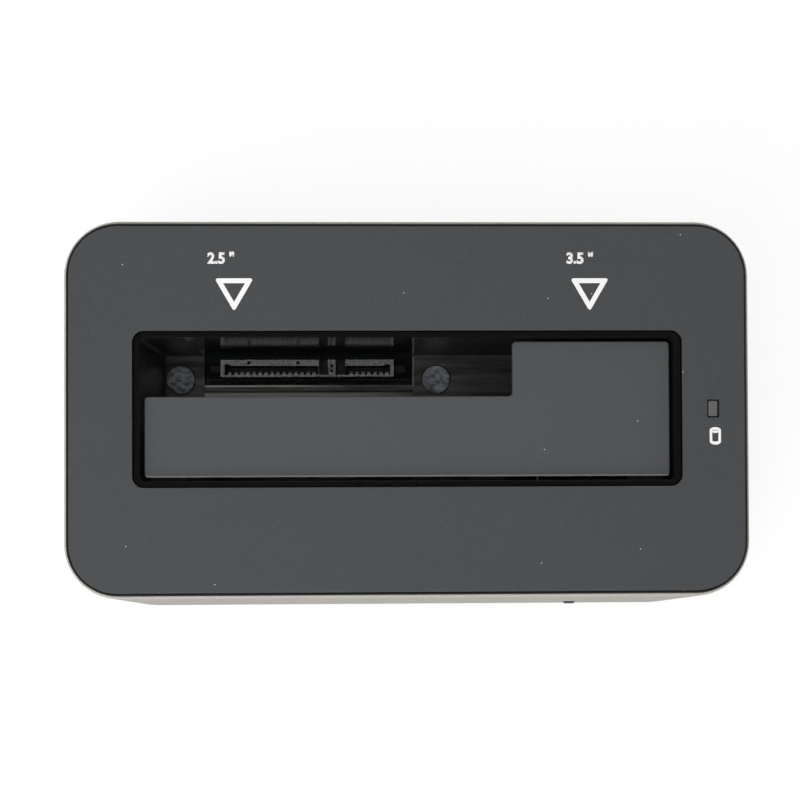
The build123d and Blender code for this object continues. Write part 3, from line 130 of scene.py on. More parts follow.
class DockMouldings(bpy.types.PropertyGroup):
    """Sizes of the softened edges and of the small moulded pieces."""

    edge: length("Edge break", "Width of the broken edge on large mouldings", 0.12)
    # Where the flap's paint gives way to near-black painted shade over its arms; the next two set
    # the depth over which painted shade fades in round the slot and how far down the cover's edge
    # the painted shade begins.
    shade_edge: length("Paint edge", "Where the flap's paint ends, before its arms", -13.0)
    shade_fade: length("Paint fade", "Depth over which the paint thins into the slot", 0.35)
    shade_drop: length("Paint drop", "How far the cover's paint goes down its edge", 0.05)
    flap_edge: length("Flap edge break", "Width of the flap's broken edge", 0.22)
    lens_edge: length("Lens edge break", "Width of the lens's broken edge", 0.2)
    # Height of the painted highlight along the shell's top rim.
    highlight_depth: length("Rim depth", "Height of the paler rim of the shell", 0.3)
    fine_edge: length("Fine edge break", "Width of the broken edge on small parts", 0.05)
    foot_rings: IntProperty(name="Foot rings", description="Grip rings under a foot",
                            default=3, min=1, max=6)
    ring_depth: length("Ring depth", "Depth of the grooves between the rings", 0.18)
    pad_dish: length("Pad dish", "How far the middle of a pad is sunk", 0.12)
    pad_rim: length("Pad rim", "Width of the raised rim of a pad", 0.35)
    ridge_width: length("Ridge width", "Width of a ridge on the switch", 0.22)
    ridge_proud: length("Ridge height", "How far a ridge stands out", 0.1)
    ridges: IntProperty(name="Ridges", description="Ridges on the face of the switch",
                        default=3, min=1, max=6)
    tab_middle: length("Tab middle", "Middle of the receptacle's centre tab", 5.14)
    tab_width: length("Tab width", "Width of the centre tab", 1.6)
    gap_start: length("Gap start", "Where the low part beside the tab begins", 2.45)
    gap_end: length("Gap end", "Where the low part beside the tab ends", 8.06)
    gap_depth: length("Gap depth", "How low the parts beside the tab are", 2.4)
    mouth_depth: length("Mouth depth", "Thickness of the receptacle", 3.6)
    lip: length("Lip", "Thickness of the receptacle's front wall", 0.4)
    # How far down the receptacle's top is painted light grey, a painted highlight.
    lit_top_depth: length("Worn depth", "How far down the receptacle is scuffed", 0.3)
    eye_radius: length("Eye radius", "Radius of the two small dimples in the tab", 0.42)
    eye_gap: length("Eye gap", "Between the middles of the dimples", 1.05)
    eye_depth: length("Eye depth", "Depth of the dimples in the tab", 0.3)
    slot_floor: length("Slot floor", "Height of the slot's floor", 20.0)
    cut_margin: length("Cut-out margin", "Room beside the receptacle's ears", 0.9)
    cut_front: length("Cut-out front", "Front edge of the receptacle's cut-out", 7.4)
    cut_rear: length("Cut-out rear", "Rear edge of the receptacle's cut-out", 13.5)
    # Where the painted highlight on the cut-out's front edge is brightest and where it has faded.
    highlight_start: length("Shine start", "Where the cut-out's front edge is rubbed bright", -25.0)
    highlight_end: length("Shine end", "Where that edge has faded", -12.0)
    # Where the painted highlight before the lip has faded, the lip's width, and the width of that
    # highlight's band.
    lip_highlight_end: length("Gleam end", "Where the rubbed lip has faded", 6.0)
    lip_width: length("Lip width", "Width of the lip before the cut-out", 1.55)
    lip_highlight_width: length("Gleam width", "Width of the rubbed band before the lip", 0.95)
    # Reach beside and behind the slot of the painted shade that fades in over its edge.
    fade_side: length("Bare side", "Reach of the thin paint beside the slot", 2.0)
    fade_rear: length("Bare rear", "Reach of the thin paint behind the slot", 3.0)
    pad_edge: length("Pad edge break", "Width of the broken edge of a pad", 0.1)
    foot_edge: length("Foot edge break", "Width of the broken edge of a foot", 0.07)
    spring_wire: length("Spring wire", "Thickness of the hinge spring's wire", 0.5)


class DockColours(bpy.types.PropertyGroup):
    """Base colours of the finishes."""

    cover: colour("Cover", "Matte black of the top", (0.0484, 0.0508, 0.0534))
    shell: colour("Shell", "Light warm grey of the case", (0.376, 0.351, 0.312))
    liner: colour("Liner", "Polished black of the slot", (0.010, 0.010, 0.0095))
    base: colour("Base", "Black of the floor of the case", (0.022, 0.022, 0.024))
    connector: colour("Connector", "Black of the receptacle and the jack", (0.045, 0.046, 0.049))
    gold: colour("Gold", "Pale flash on the contacts", (0.84, 0.80, 0.70))
    steel: colour("Steel", "Plain steel", (0.55, 0.56, 0.57))
    tin: colour("Tin", "Plated sheet of the port", (0.66, 0.66, 0.65))
    mask: colour("Solder mask", "Black of the board", (0.006, 0.012, 0.009))
    blue: colour("Port blue", "Blue plastic in the port", (0.015, 0.12, 0.55))
    lens: colour("Lens", "Clear plastic of the window", (0.115, 0.116, 0.118))
    ink: colour("Ink", "White of the printed marks", (0.86, 0.86, 0.85))
    floor: colour("Floor", "Pale floor under the object", (0.94, 0.94, 0.94))


class DockStage(bpy.types.PropertyGroup):
    """The camera, the light of the room and the floor."""

    camera_x: length("Camera X", "Place of the camera along X", -6.64)
    camera_y: length("Camera Y", "Place of the camera along Y", -17.47)
    camera_z: length("Camera Z", "Height of the camera", 372.56)
    tilt_x: angle("Tilt X", "Turn about X", 1.05)
    tilt_y: angle("Tilt Y", "Turn about Y", -1.78)
    tilt_z: angle("Tilt Z", "Turn about Z", -0.25)
    lens: level("Lens", "Focal length for a 36 mm sensor, in mm", 73.37)
    shift_x: level("Shift X", "Sideways shift of the view", -0.03125)
    shift_y: level("Shift Y", "Upward shift of the view", 0.0875)
    room_level: level("Room level", "Light from the whole room", 0.35)
    ceiling_level: level("Ceiling level", "How bright gloss sees the dim ceiling", 0.08)
    wall_height: level("Wall height", "Sine of the height where the walls get dimmer", 0.12)
    ceiling_height: level("Ceiling height", "Sine of the height where the ceiling begins",
                          0.55)
    glow: level("Floor glow", "How bright the floor looks", 1.05)
    near_share: level("Near share", "Share of the glow in the floor by the object", 0.8)
    near_reach: length("Near reach", "From the middle to where the glow grows", 150.0)
    far_reach: length("Far reach", "From the middle to where the glow is all", 500.0)
    floor_drop: length("Floor drop", "Gap that keeps the floor off the feet", 0.02)
    floor_size: length("Floor size", "Side of the floor", 6000.0)


class Wire:
    """One output of a node, which takes part in sums as a number does."""

    def __init__(self, tree, socket):
        self.tree = tree
        self.socket = socket

    def maths(self, operation, first, second):
        """A Math node on two values."""
        return self.tree.node("ShaderNodeMath", {0: first, 1: second}, operation=operation)

    def __add__(self, other):
        return self.maths("ADD", self, other)

    def __sub__(self, other):
        return self.maths("SUBTRACT", self, other)

    def __rsub__(self, other):
        return self.maths("SUBTRACT", other, self)

    def __mul__(self, other):
        return self.maths("MULTIPLY", self, other)

    def __lt__(self, other):
        return self.maths("LESS_THAN", self, other)

    def __gt__(self, other):
        return self.maths("GREATER_THAN", self, other)


class Nodes:
    """A node tree that is filled by calls."""

    def __init__(self, tree):
        self.tree = tree

    def plug(self, socket, value):
        """Sets a socket to a value or links it to a wire."""
        if isinstance(value, Wire):
            self.tree.links.new(value.socket, socket)
        else:
            socket.default_value = value

    def node(self, kind, sockets=None, out=0, **settings):
        """Adds a node, sets its settings first and its sockets after, and gives one output."""
        new = self.tree.nodes.new(kind)
        for name, value in settings.items():
            setattr(new, name, value)
        for name, value in (sockets or {}).items():
            self.plug(new.inputs[name], value)
        return Wire(self, new.outputs[out])

    def rays(self, kind):
        """1 for a camera, glossy or transmission ray, 0 for the others."""
        return self.node("ShaderNodeLightPath", out=f"Is {kind} Ray")


class Finish(Nodes):
    """The node tree of one material."""

    def __init__(self, name):
        self.material = bpy.data.materials.new(name)
        self.material.use_nodes = True
        super().__init__(self.material.node_tree)
        self.shader = self.tree.nodes["Principled BSDF"]
        self.place = self.node("ShaderNodeTexCoord", out="Object")

    def noise(self, size, detail=2.0, rough=0.5, stretch=None):
        """Cloudy noise whose blobs are about the given size in metres."""
        place = self.stretched(*stretch) if stretch else self.place
        return self.node("ShaderNodeTexNoise", {"Vector": place, "Scale": 1 / size,
                                                "Detail": detail, "Roughness": rough})

    def stretched(self, x, y, z, turn=0.0):
        """The object's coordinates turned about Z, then scaled by a factor along each axis."""
        return self.node("ShaderNodeMapping", {
            "Vector": self.place, "Rotation": (0, 0, turn), "Scale": (x, y, z)})

    def along(self, axis):
        """The object's coordinate along one axis."""
        return self.node("ShaderNodeSeparateXYZ", {0: self.place}, out=axis)

    def within(self, axis, low, high):
        """1 where the coordinate along an axis is between two values, 0 elsewhere."""
        place = self.along(axis)
        return (place > low) * (place < high)

    def ramp(self, value, low, high):
        """0 below the low value, 1 above the high value and straight between them."""
        return self.node("ShaderNodeMapRange", {"Value": value, "From Min": low,
                                                "From Max": high})

    def blend(self, mask, first, second):
        """A colour between two colours."""
        return self.node("ShaderNodeMix", {0: mask, 6: first, 7: second}, out=2,
                         data_type="RGBA")

    def bump(self, height, depth, strength):
        """A normal from a height that spans the given depth in metres."""
        return self.node("ShaderNodeBump",
                         {"Strength": strength, "Distance": depth, "Height": height})

    def feed(self, body, rough, normal=None, specular=0.5, metallic=0.0):
        """Sets the shader's own sockets and gives the material."""
        values = {"Base Color": body, "Roughness": rough, "Specular IOR Level": specular,
                  "Metallic": metallic}
        if normal:
            values["Normal"] = normal
        for name, value in values.items():
            self.plug(self.shader.inputs[name], value)
        return self.material


def tint(rgb, factor):
    """A colour made lighter or darker, with its alpha."""
    return tuple(min(1.0, channel * factor) for channel in rgb) + (1.0,)


def tints(rgb, dark, light):
    """The darker and the lighter end of a colour that varies."""
    return tint(rgb, dark), tint(rgb, light)


def grained(name, dark, light, size, shine, relief=None, detail=3.0, rough=0.7,
            specular=0.5, cloud=None):
    """A finish whose grain sets its tint, its roughness and its relief.

    Shine is the least roughness and its span, and relief the depth and the strength of the
    bump. A cloud, given as its own noise, sets the tint in place of the grain.
    """
    finish = Finish(name)
    grain = finish.noise(size, detail, rough)
    tone = finish.noise(*cloud) if cloud else grain
    least, span = shine
    relief = finish.bump(grain, *relief) if relief else None
    return finish.feed(finish.blend(tone, dark, light), grain * span + least, relief,
                       specular)


def matte_cover(name, rgb, shade_y, top, drop, slot, sizes):
    """Matte black paint with a fine grain, faint mottling and a few dust specks.

    In front of the given edge along Y, where only hinge arms are, and more than drop below the
    top, on the rounded edge and the sides, a near-black painted shade stands in for the dark gap
    by the arms and the dark band along the edge. Round the slot, a half width and a half depth,
    this painted shade fades in over the slot's rounded edge. A painted highlight runs just behind
    the given edge.
    """
    finish = Finish(name)
    grain = finish.noise(0.22 * MM, detail=3.0, rough=0.65)
    cloud = finish.noise(9 * MM, detail=2.0)
    height = finish.along("Z")
    inside = finish.within("X", -slot.x, slot.x) * finish.within("Y", -slot.y, slot.y)
    shade_faded = finish.ramp(height, top - sizes.shade_fade, top)
    front = finish.along("Y")
    covered = height > top - drop
    # painted is 1 where the paint's own colour shows and 0 where near-black painted shade goes
    painted = (front > shade_y) * (covered + inside * (shade_faded - covered))
    body = finish.blend(cloud, *tints(rgb, 0.70, 0.80))
    body = finish.blend(grain * 0.8, body, tint(rgb, 2.1))
    spacing, radius, clean, edge_highlight_width = 9 * MM, 0.011, 0.82, 0.3 * MM
    cells = finish.node("ShaderNodeTexVoronoi", {"Vector": finish.place, "Scale": 1 / spacing},
                        voronoi_dimensions="2D")
    lot = finish.node("ShaderNodeSeparateColor", {"Color": Wire(
        finish, cells.socket.node.outputs["Color"])})
    speck = (cells < radius) * (lot > clean)
    body = finish.blend(speck, body, (0.62, 0.62, 0.6, 1.0))
    # painted highlight: a warm light line along the front edge of the flap's paint, for the light
    # its broken edge catches
    edge_highlight = (front < shade_y + edge_highlight_width) * 0.7
    body = finish.blend(edge_highlight, body, (0.24, 0.225, 0.195, 1.0))
    # near-black painted shade on the edges, over the arms and fading into the slot
    body = finish.blend(painted, SHADE_BLACK, body)
    return finish.feed(body, painted * (grain * 0.16 + 0.08) + 0.32,
                       finish.bump(grain, 0.022 * MM, 0.55), specular=0.15)


def satin_shell(colours, highlight_z):
    """Light warm grey plastic with a satin face, very fine texture and a painted highlight along
    its top rim.
    """
    finish = Finish("satin_shell")
    grain = finish.noise(0.16 * MM, detail=2.0, rough=0.6)
    cloud = finish.noise(14 * MM, detail=1.0)
    rgb = colours.shell
    body = finish.blend(cloud, *tints(rgb, 0.975, 1.025))
    # painted highlight: the top rim is painted paler for the light its rounding catches
    body = finish.blend(finish.along("Z") > highlight_z, body, tint(rgb, 1.35))
    return finish.feed(body, grain * 0.12 + 0.44, finish.bump(grain, 0.008 * MM, 0.5),
                       specular=0.35)


def polished_liner(colours, sizes):
    """Polished black plastic, duller away from the cut-out, with a rubbed, streaky floor, painted
    highlights on the cut-out's edges and before the lip, and painted shade at the floor's right
    end and on the rim.
    """
    finish = Finish("polished_liner")
    flow = finish.noise(6 * MM, detail=3.0, stretch=(1.0, 3.0, 0.5))
    hair = finish.noise(0.5 * MM, detail=2.0, rough=0.7, stretch=(1.0, 1.0, 0.06))
    streak = finish.noise(3 * MM, detail=4.0, rough=0.6, stretch=(0.12, 2.2, 1.0))
    low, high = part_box("sata_receptacle")
    left = low.x - sizes.cut_margin
    right = high.x + sizes.cut_margin
    highlight_side, highlight_front, highlight_drop, hem = 0.22 * MM, 0.45 * MM, 0.3 * MM, 0.1 * MM
    shade_rim_height, dim_from, dim_to = 0.25 * MM, right + 7 * MM, right + 14 * MM
    floor_high = sizes.slot_floor + 1 * MM
    floor = finish.along("Z") < floor_high
    polished = finish.within("X", left, right)
    rim = finish.along("Z") > LINER_HIGH.z - shade_rim_height
    # painted highlight on the cut-out's front and right edges; shine makes it brightest to the
    # left and beyond the right edge
    painted_light = (finish.within("X", left, right + highlight_side)
            * finish.within("Y", sizes.cut_front - highlight_front, sizes.cut_rear)
            * finish.within("Z", sizes.slot_floor - highlight_drop, floor_high))
    body = finish.blend(flow, *tints(colours.liner, 0.8, 1.8))
    rubbed = finish.blend(finish.ramp(streak, 0.38, 0.66), (0.027, 0.0269, 0.0256, 1.0),
                          (0.098, 0.097, 0.092, 1.0))
    body = finish.blend(floor, body, rubbed)
    side = finish.along("X")
    shine = finish.ramp(side, sizes.highlight_end, sizes.highlight_start) * 0.85 + (side > right)
    body = finish.blend(painted_light * (shine + 0.15), body, (0.40, 0.39, 0.37, 1.0))
    # painted highlight: a light band across the slot's floor just before the lip, brightest to
    # the left
    lip_front = sizes.cut_front - sizes.lip_width
    band = (finish.within("X", left, right)
            * finish.within("Y", lip_front - sizes.lip_highlight_width, lip_front - hem))
    lip_highlight = finish.ramp(side, sizes.lip_highlight_end, sizes.highlight_end) * floor
    body = finish.blend(band * lip_highlight * 0.8, body, (0.26, 0.25, 0.225, 1.0))
    # painted shade: the slot's floor darkens towards its right end
    shade = finish.ramp(side, dim_from, dim_to) * floor
    body = finish.blend(shade * 0.4, body, (0.008, 0.008, 0.008, 1.0))
    # painted shade: the liner's rim under the cover's edge is painted near-black
    body = finish.blend(rim, body, (0.003, 0.003, 0.003, 1.0))
    rough = hair * 0.05 + flow * 0.07 + 0.05
    dull = (1 - polished) * (1 - rim) * 0.2 + floor * 0.05 + rim * 0.05
    return finish.feed(body, rough + dull, finish.bump(flow, 0.02 * MM, 0.12), specular=0.4)


def pad_rubber():
    """Grey-black pad rubber with a glossy skin and drawn-out rub marks."""
    finish = Finish("pad_rubber_skin")
    rub = finish.noise(1.2 * MM, detail=5.0, rough=0.7, stretch=(0.8, 1.5, 1.0, 0.7))
    grain = finish.noise(0.3 * MM, detail=3.0, rough=0.7)
    body = finish.blend(finish.ramp(rub, 0.40, 0.62), (0.062, 0.066, 0.073, 1.0),
                        (0.275, 0.298, 0.33, 1.0))
    return finish.feed(body, rub * 0.3 + grain * 0.1 + 0.15,
                       finish.bump(rub, 0.08 * MM, 0.5))


def connector_plastic(colours):
    """Glass filled black plastic of the connectors."""
    return grained("connector_plastic", *tints(colours.connector, 0.8, 1.9), 0.18 * MM,
                   (0.26, 0.18), (0.012 * MM, 0.5), rough=0.65, specular=0.6,
                   cloud=(3.5 * MM, 2.0, 0.5, (0.4, 1.0, 1.0)))


def receptacle_plastic(colours, top, painted_light):
    """Black connector plastic with painted shade on its sides and a light grey painted highlight
    on its top face.
    """
    finish = Finish("receptacle_plastic")
    grain = finish.noise(0.5 * MM, detail=5.0, rough=0.8)
    flow = finish.noise(3.0 * MM, detail=2.0, stretch=(0.4, 1.0, 1.0))
    rgb = colours.connector
    # painted shade: the receptacle's sides are a much darker copy of its plastic
    body = finish.blend(flow, *tints(rgb, 0.12, 0.3))
    # painted highlight: the top face is painted light grey for the light it catches
    painted_bright = finish.along("Z") > top - painted_light
    bright_top = finish.blend(finish.ramp(grain, 0.38, 0.62), *tints(rgb, 1.2, 6.4))
    body = finish.blend(painted_bright, body, bright_top)
    return finish.feed(body, grain * 0.2 + painted_bright * 0.12 + 0.2,
                       finish.bump(grain, 0.015 * MM, 0.5))


def metal(name, rgb, roughness, streak, shaded_below=None, metallic=1.0):
    """Bare metal with drawing marks along one axis and slight tarnish.

    Below the given height it is painted near-black, a painted shade deep in the slot round the
    board.
    """
    finish = Finish(name)
    marks = finish.noise(0.12 * MM, detail=2.0, stretch=streak)
    tarnish = finish.noise(1.8 * MM, detail=3.0)
    body = finish.blend(tarnish, *tints(rgb, 0.82, 1.05))
    if shaded_below is not None:
        # painted shade: below the given height the metal is painted near-black
        body = finish.blend(finish.along("Z") < shaded_below, body,
                            (0.012, 0.012, 0.012, 1.0))
    return finish.feed(body, marks * 0.14 + tarnish * 0.08 + roughness,
                       finish.bump(marks, 0.006 * MM, 0.5), metallic=metallic)


def solder_mask(colours):
    """The board's black mask with slightly raised tracks and a glossy skin."""
    finish = Finish("solder_mask")
    bricks = finish.node("ShaderNodeTexBrick",
                         {"Vector": finish.place, "Scale": 1.0, "Mortar Size": 0.18 * MM,
                          "Brick Width": 6.1 * MM, "Row Height": 0.75 * MM,
                          "Color1": (0, 0, 0, 1), "Color2": (0, 0, 0, 1),
                          "Mortar": (1, 1, 1, 1)}, offset=0.37, squash=0.7)
    field = finish.noise(5 * MM, detail=1.0)
    tracks = bricks * (field > 0.5)
    body = finish.blend(tracks, *tints(colours.mask, 0.8, 1.7))
    return finish.feed(body, field * 0.12 + 0.2, finish.bump(tracks, 0.03 * MM, 0.6))


def smoked_lens(colours):
    """Slightly frosted clear plastic, dark because the lamp is off, with a near-black painted
    shade round its edge for the shadow in its recess.
    """
    finish = Finish("smoked_lens")
    haze = finish.noise(0.4 * MM, detail=3.0)
    body = finish.blend(haze, *tints(colours.lens, 0.8, 1.2))
    # painted shade: a near-black frame round the lens for the shadow in its recess
    left, front, right, rear = 0.12 * MM, 0.15 * MM, 0.2 * MM, 0.2 * MM
    clear = (finish.within("X", LAMP_LOW.x + left, LAMP_HIGH.x - right)
             * finish.within("Y", LAMP_LOW.y + front, LAMP_HIGH.y - rear))
    body = finish.blend(clear, SHADE_BLACK, body)
    return finish.feed(body, haze * 0.12 + 0.18, finish.bump(haze, 0.01 * MM, 0.3))


def pale_floor(colours, stage):
    """A floor that the camera and reflections see nearly white, with a soft shadow left."""
    finish = Finish("pale_floor")
    cloud = finish.noise(0.3, detail=2.0)
    body = finish.blend(cloud, *tints(colours.floor, 0.99, 1.01))
    finish.feed(body, 0.9, specular=0.1)
    seen = finish.rays("Camera") + finish.rays("Glossy") + finish.rays("Transmission")
    glow = finish.node("ShaderNodeEmission", {"Color": (1.0, 1.0, 1.0, 1.0),
                                              "Strength": stage.glow})
    reach = finish.node("ShaderNodeVectorMath", {0: finish.place}, out="Value",
                        operation="LENGTH")
    share = (finish.ramp(reach, stage.near_reach, stage.far_reach) * (1 - stage.near_share)
             + stage.near_share)
    mix = finish.node("ShaderNodeMixShader", {
        0: (seen > 0.5) * share, 1: Wire(finish, finish.shader.outputs["BSDF"]), 2: glow})
    end = finish.tree.nodes["Material Output"]
    finish.plug(end.inputs["Surface"], mix)
    return finish.material


def activate(*pieces):
    """Makes some objects the only selected ones, and the first of them the active one."""
    bpy.ops.object.select_all(action="DESELECT")
    for piece in pieces:
        piece.select_set(True)
    bpy.context.view_layer.objects.active = pieces[0]


@contextmanager
def editing(piece):
    """Keeps one object in edit mode, and leaves edit mode at the end."""
    activate(piece)
    bpy.ops.object.mode_set(mode="EDIT")
    yield
    bpy.ops.object.mode_set(mode="OBJECT")


def settle(piece, name, material):
    """Puts a finished piece's place into its mesh, names it and gives it its finish."""
    activate(piece)
    bpy.ops.object.transform_apply()
    piece.name = name
    piece.data.name = name
    piece.data.materials.clear()
    piece.data.materials.append(material)
    return piece


def box_of(points):
    """The lowest and the highest corner of some points."""
    points = list(points)
    return (Vector([min(point[i] for point in points) for i in range(3)]),
            Vector([max(point[i] for point in points) for i in range(3)]))


def pick(piece, kind, test):
    """Selects the faces or the edges that pass a test, from edit mode."""
    bpy.ops.mesh.select_mode(type=kind)
    bpy.ops.mesh.select_all(action="DESELECT")
    mesh = bmesh.from_edit_mesh(piece.data)
    for part in mesh.faces if kind == "FACE" else mesh.edges:
        part.select = test(part)
    mesh.select_flush_mode()
    bmesh.update_edit_mesh(piece.data)


def apply_modifier(piece, kind, **settings):
    """Adds a modifier with its settings and applies it."""
    activate(piece)
    modifier = piece.modifiers.new(kind.title(), kind)
    for name, value in settings.items():
        setattr(modifier, name, value)
    bpy.ops.object.modifier_apply(modifier=modifier.name)


def carved(piece, boxes, posts):
    """Cuts boxes and upright posts out of a piece."""
    tools = []
    for low, high in boxes:
        bpy.ops.mesh.primitive_cube_add(size=1.0, location=(Vector(low) + Vector(high)) / 2)
        tools.append(bpy.context.object)
        bpy.context.object.scale = Vector(high) - Vector(low)
    for place, radius, depth in posts:
        bpy.ops.mesh.primitive_cylinder_add(vertices=POST_SIDES, radius=radius, depth=2 * depth,
                                            location=place)
        tools.append(bpy.context.object)
    for tool in tools:
        activate(tool)
        bpy.ops.object.transform_apply()
        apply_modifier(piece, "BOOLEAN", operation="DIFFERENCE", object=tool,
                       solver="EXACT")
        bpy.data.objects.remove(tool)


def softened(node, name, edge, body, material, boxes=(), posts=()):
    """A copy of a construction node whose sharp edges are broken, as a mould leaves them.

    A piece given no body is attached to none here. A piece that bends between two bodies
    is given none here.
    """
    flat, sharp, smooth = math.radians(0.3), math.radians(40), math.radians(35)
    activate(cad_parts[node])
    bpy.ops.object.duplicate()
    piece = bpy.context.object
    piece.parent = None
    for key in list(piece.keys()):
        del piece[key]
    with editing(piece):
        bpy.ops.mesh.select_mode(type="VERT")
        bpy.ops.mesh.select_all(action="SELECT")
        bpy.ops.mesh.remove_doubles(threshold=MERGE)
        bpy.ops.mesh.customdata_custom_splitnormals_clear()
        bpy.ops.mesh.dissolve_limited(angle_limit=flat)
    carved(piece, boxes, posts)
    apply_modifier(piece, "BEVEL", width=edge, segments=2, limit_method="ANGLE",
                   angle_limit=sharp, use_clamp_overlap=False, miter_outer="MITER_ARC")
    activate(piece)
    bpy.ops.object.shade_smooth_by_angle(angle=smooth)
    apply_modifier(piece, "WEIGHTED_NORMAL", keep_sharp=True)
    settle(piece, name, material)
    if body:
        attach(piece, body)
    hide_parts(node)
    return piece


def fitted(low, high, width, height):
    """Moves the shape in edit mode to the middle and scales it to a width and a height."""
    size = high - low
    bpy.ops.transform.translate(value=-(low + high) / 2)
    bpy.ops.transform.resize(value=(width / size.x, height / size.y, 1.0),
                             center_override=(0, 0, 0))


def ink_up(x, y, z, ink):
    """Gives the flat shape in edit mode the ink's thickness and puts it in its place."""
    bpy.ops.mesh.select_all(action="SELECT")
    bpy.ops.mesh.normals_make_consistent()
    bpy.ops.mesh.extrude_region_move(TRANSFORM_OT_translate={"value": (0, 0, ink)})
    bpy.ops.mesh.select_all(action="SELECT")
    bpy.ops.mesh.normals_make_consistent()
    bpy.ops.transform.translate(value=(x, y, z))


def printed_arrow(x, y, z, marks):
    """A hollow triangle in ink that points into the slot, with rounded outer corners."""
    slack = 0.01 * MM
    bpy.ops.mesh.primitive_circle_add(vertices=3, radius=1.0, fill_type="NGON")
    piece = bpy.context.object
    low, high = box_of(vertex.co for vertex in piece.data.vertices)

    def outer_corner(edge):
        """True for an upright edge at one of the three outer corners."""
        first, second = (vert.co - Vector((x, y, z)) for vert in edge.verts)
        upright = abs(first.z - second.z) > marks.ink / 2
        top = abs(first.x) > marks.arrow_width / 2 - slack
        return upright and (top or first.y < slack - marks.arrow_height / 2)

    with editing(piece):
        fitted(low, high, marks.arrow_width, -marks.arrow_height)
        bpy.ops.mesh.inset(thickness=marks.arrow_stroke, depth=0)
        bpy.ops.mesh.delete(type="FACE")
        ink_up(x, y, z, marks.ink)
        pick(piece, "EDGE", outer_corner)
        bpy.ops.mesh.bevel(offset=marks.arrow_round, segments=5, affect="EDGES")
    return piece


def drum_outline(width, height, cap, hollow_top, drop=0.0, sides=32):
    """A closed line round a drum: an ellipse whose rear half is moved up, or turned over."""
    bpy.ops.mesh.primitive_circle_add(vertices=sides, radius=1.0, fill_type="NOTHING")
    piece = bpy.context.object
    with editing(piece):
        bpy.ops.transform.resize(value=(width / 2, cap / 2, 1.0), center_override=(0, 0, 0))
        mesh = bmesh.from_edit_mesh(piece.data)
        bpy.ops.mesh.select_mode(type="VERT")
        for vert in mesh.verts:
            vert.select = vert.co.y > -MERGE
        mesh.select_flush(False)
        bmesh.update_edit_mesh(piece.data)
        rise = height - cap
        if hollow_top:
            bpy.ops.transform.resize(value=(1.0, -1.0, 1.0), center_override=(0, 0, 0))
            rise = height - cap / 2
        bpy.ops.transform.translate(value=(0, rise, 0))
        bpy.ops.mesh.select_all(action="SELECT")
        bpy.ops.transform.translate(value=(0, (cap - height) / 2 + drop, 0))
    return piece


def printed_drum(x, y, z, marks):
    """A drum in ink: a filled round top over a hollow body."""
    flatter, base, shoulder, seam_place = 0.6, 1.2, 0.72, 1.1
    inner_width = marks.symbol_width - 2 * marks.symbol_stroke
    inner_cap = marks.symbol_cap * inner_width / marks.symbol_width * flatter
    floor = marks.symbol_stroke * base
    inner_height = marks.symbol_height - floor - marks.symbol_cap * shoulder
    drop = (inner_height - marks.symbol_height) / 2 + floor
    piece = joined([
        drum_outline(marks.symbol_width, marks.symbol_height, marks.symbol_cap, False),
        drum_outline(inner_width, inner_height, inner_cap, True, drop)])
    with editing(piece):
        bpy.ops.mesh.select_all(action="SELECT")
        bpy.ops.mesh.bridge_edge_loops()
        ink_up(x, y, z, marks.ink)
    seam_y = y + marks.symbol_height / 2 - marks.symbol_stroke * seam_place
    carved(piece, [((x - inner_width / 2, seam_y - marks.symbol_seam, z - marks.ink),
                    (x + inner_width / 2, seam_y, z + 2 * marks.ink))], ())
    return piece


def printed_number(words, x, y, z, marks):
    """A plain number in ink, drawn to the width and the height of the marks."""
    boldness, curve_steps, doubles = 0.045, 6, 0.0005
    bpy.ops.object.text_add(location=(0, 0, 0))
    text = bpy.context.object
    text.data.body = words
    text.data.size = 1.0
    text.data.offset = boldness
    text.data.resolution_u = curve_steps
    bpy.ops.object.convert(target="MESH")
    piece = bpy.context.object
    low, high = box_of(vertex.co for vertex in piece.data.vertices)
    with editing(piece):
        bpy.ops.mesh.select_all(action="SELECT")
        bpy.ops.mesh.remove_doubles(threshold=doubles)
        fitted(low, high, marks.number_width, marks.number_height)
        ink_up(x, y, z, marks.ink)
    return piece


def joined(pieces):
    """Joins several objects into the first one."""
    activate(*pieces)
    bpy.ops.object.join()
    return pieces[0]


def repeated(model, places):
    """Copies of one modelled piece, each with its own mesh, with the model at the first place."""
    pieces = [model]
    for _ in places[1:]:
        activate(model)
        bpy.ops.object.duplicate()
        pieces.append(bpy.context.object)
    for piece, place in zip(pieces, places):
        piece.location = place
    return joined(pieces)


def solid_boxes(node, slack=0.2 * MM):
    """The boxes of the separate solids of a node, found by grouping its loose triangles."""
    mesh = bmesh.new()
    mesh.from_mesh(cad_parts[node].data)
    bmesh.ops.remove_doubles(mesh, verts=mesh.verts, dist=MERGE)
    left = set(mesh.verts)
    boxes = []
    while left:
        group = set()
        border = [left.pop()]
        while border:
            vert = border.pop()
            group.add(vert)
            for edge in vert.link_edges:
                other = edge.other_vert(vert)
                if other in left:
                    left.discard(other)
                    border.append(other)
        boxes.append(box_of(vert.co for vert in group))
    mesh.free()
    boxes.sort(key=lambda pair: (round(pair[0].x / slack), round(pair[0].y / slack)))
    return boxes


def disc(box):
    """A round disc as wide and as high as a box, at the origin."""
    low, high = box
    bpy.ops.mesh.primitive_cylinder_add(vertices=DISC_SIDES, radius=(high.x - low.x) / 2,
                                        depth=high.z - low.z, location=(0, 0, 0))
    return bpy.context.object


def discs(model, boxes, edge, segments, sharp):
    """Breaks a disc's edges that are sharper than an angle, and copies it to each box."""
    smooth = math.radians(40)
    apply_modifier(model, "BEVEL", width=edge, segments=segments, limit_method="ANGLE",
                   angle_limit=math.radians(sharp))
    activate(model)
    bpy.ops.object.shade_smooth_by_angle(angle=smooth)
    return repeated(model, [(low + high) / 2 for low, high in boxes])


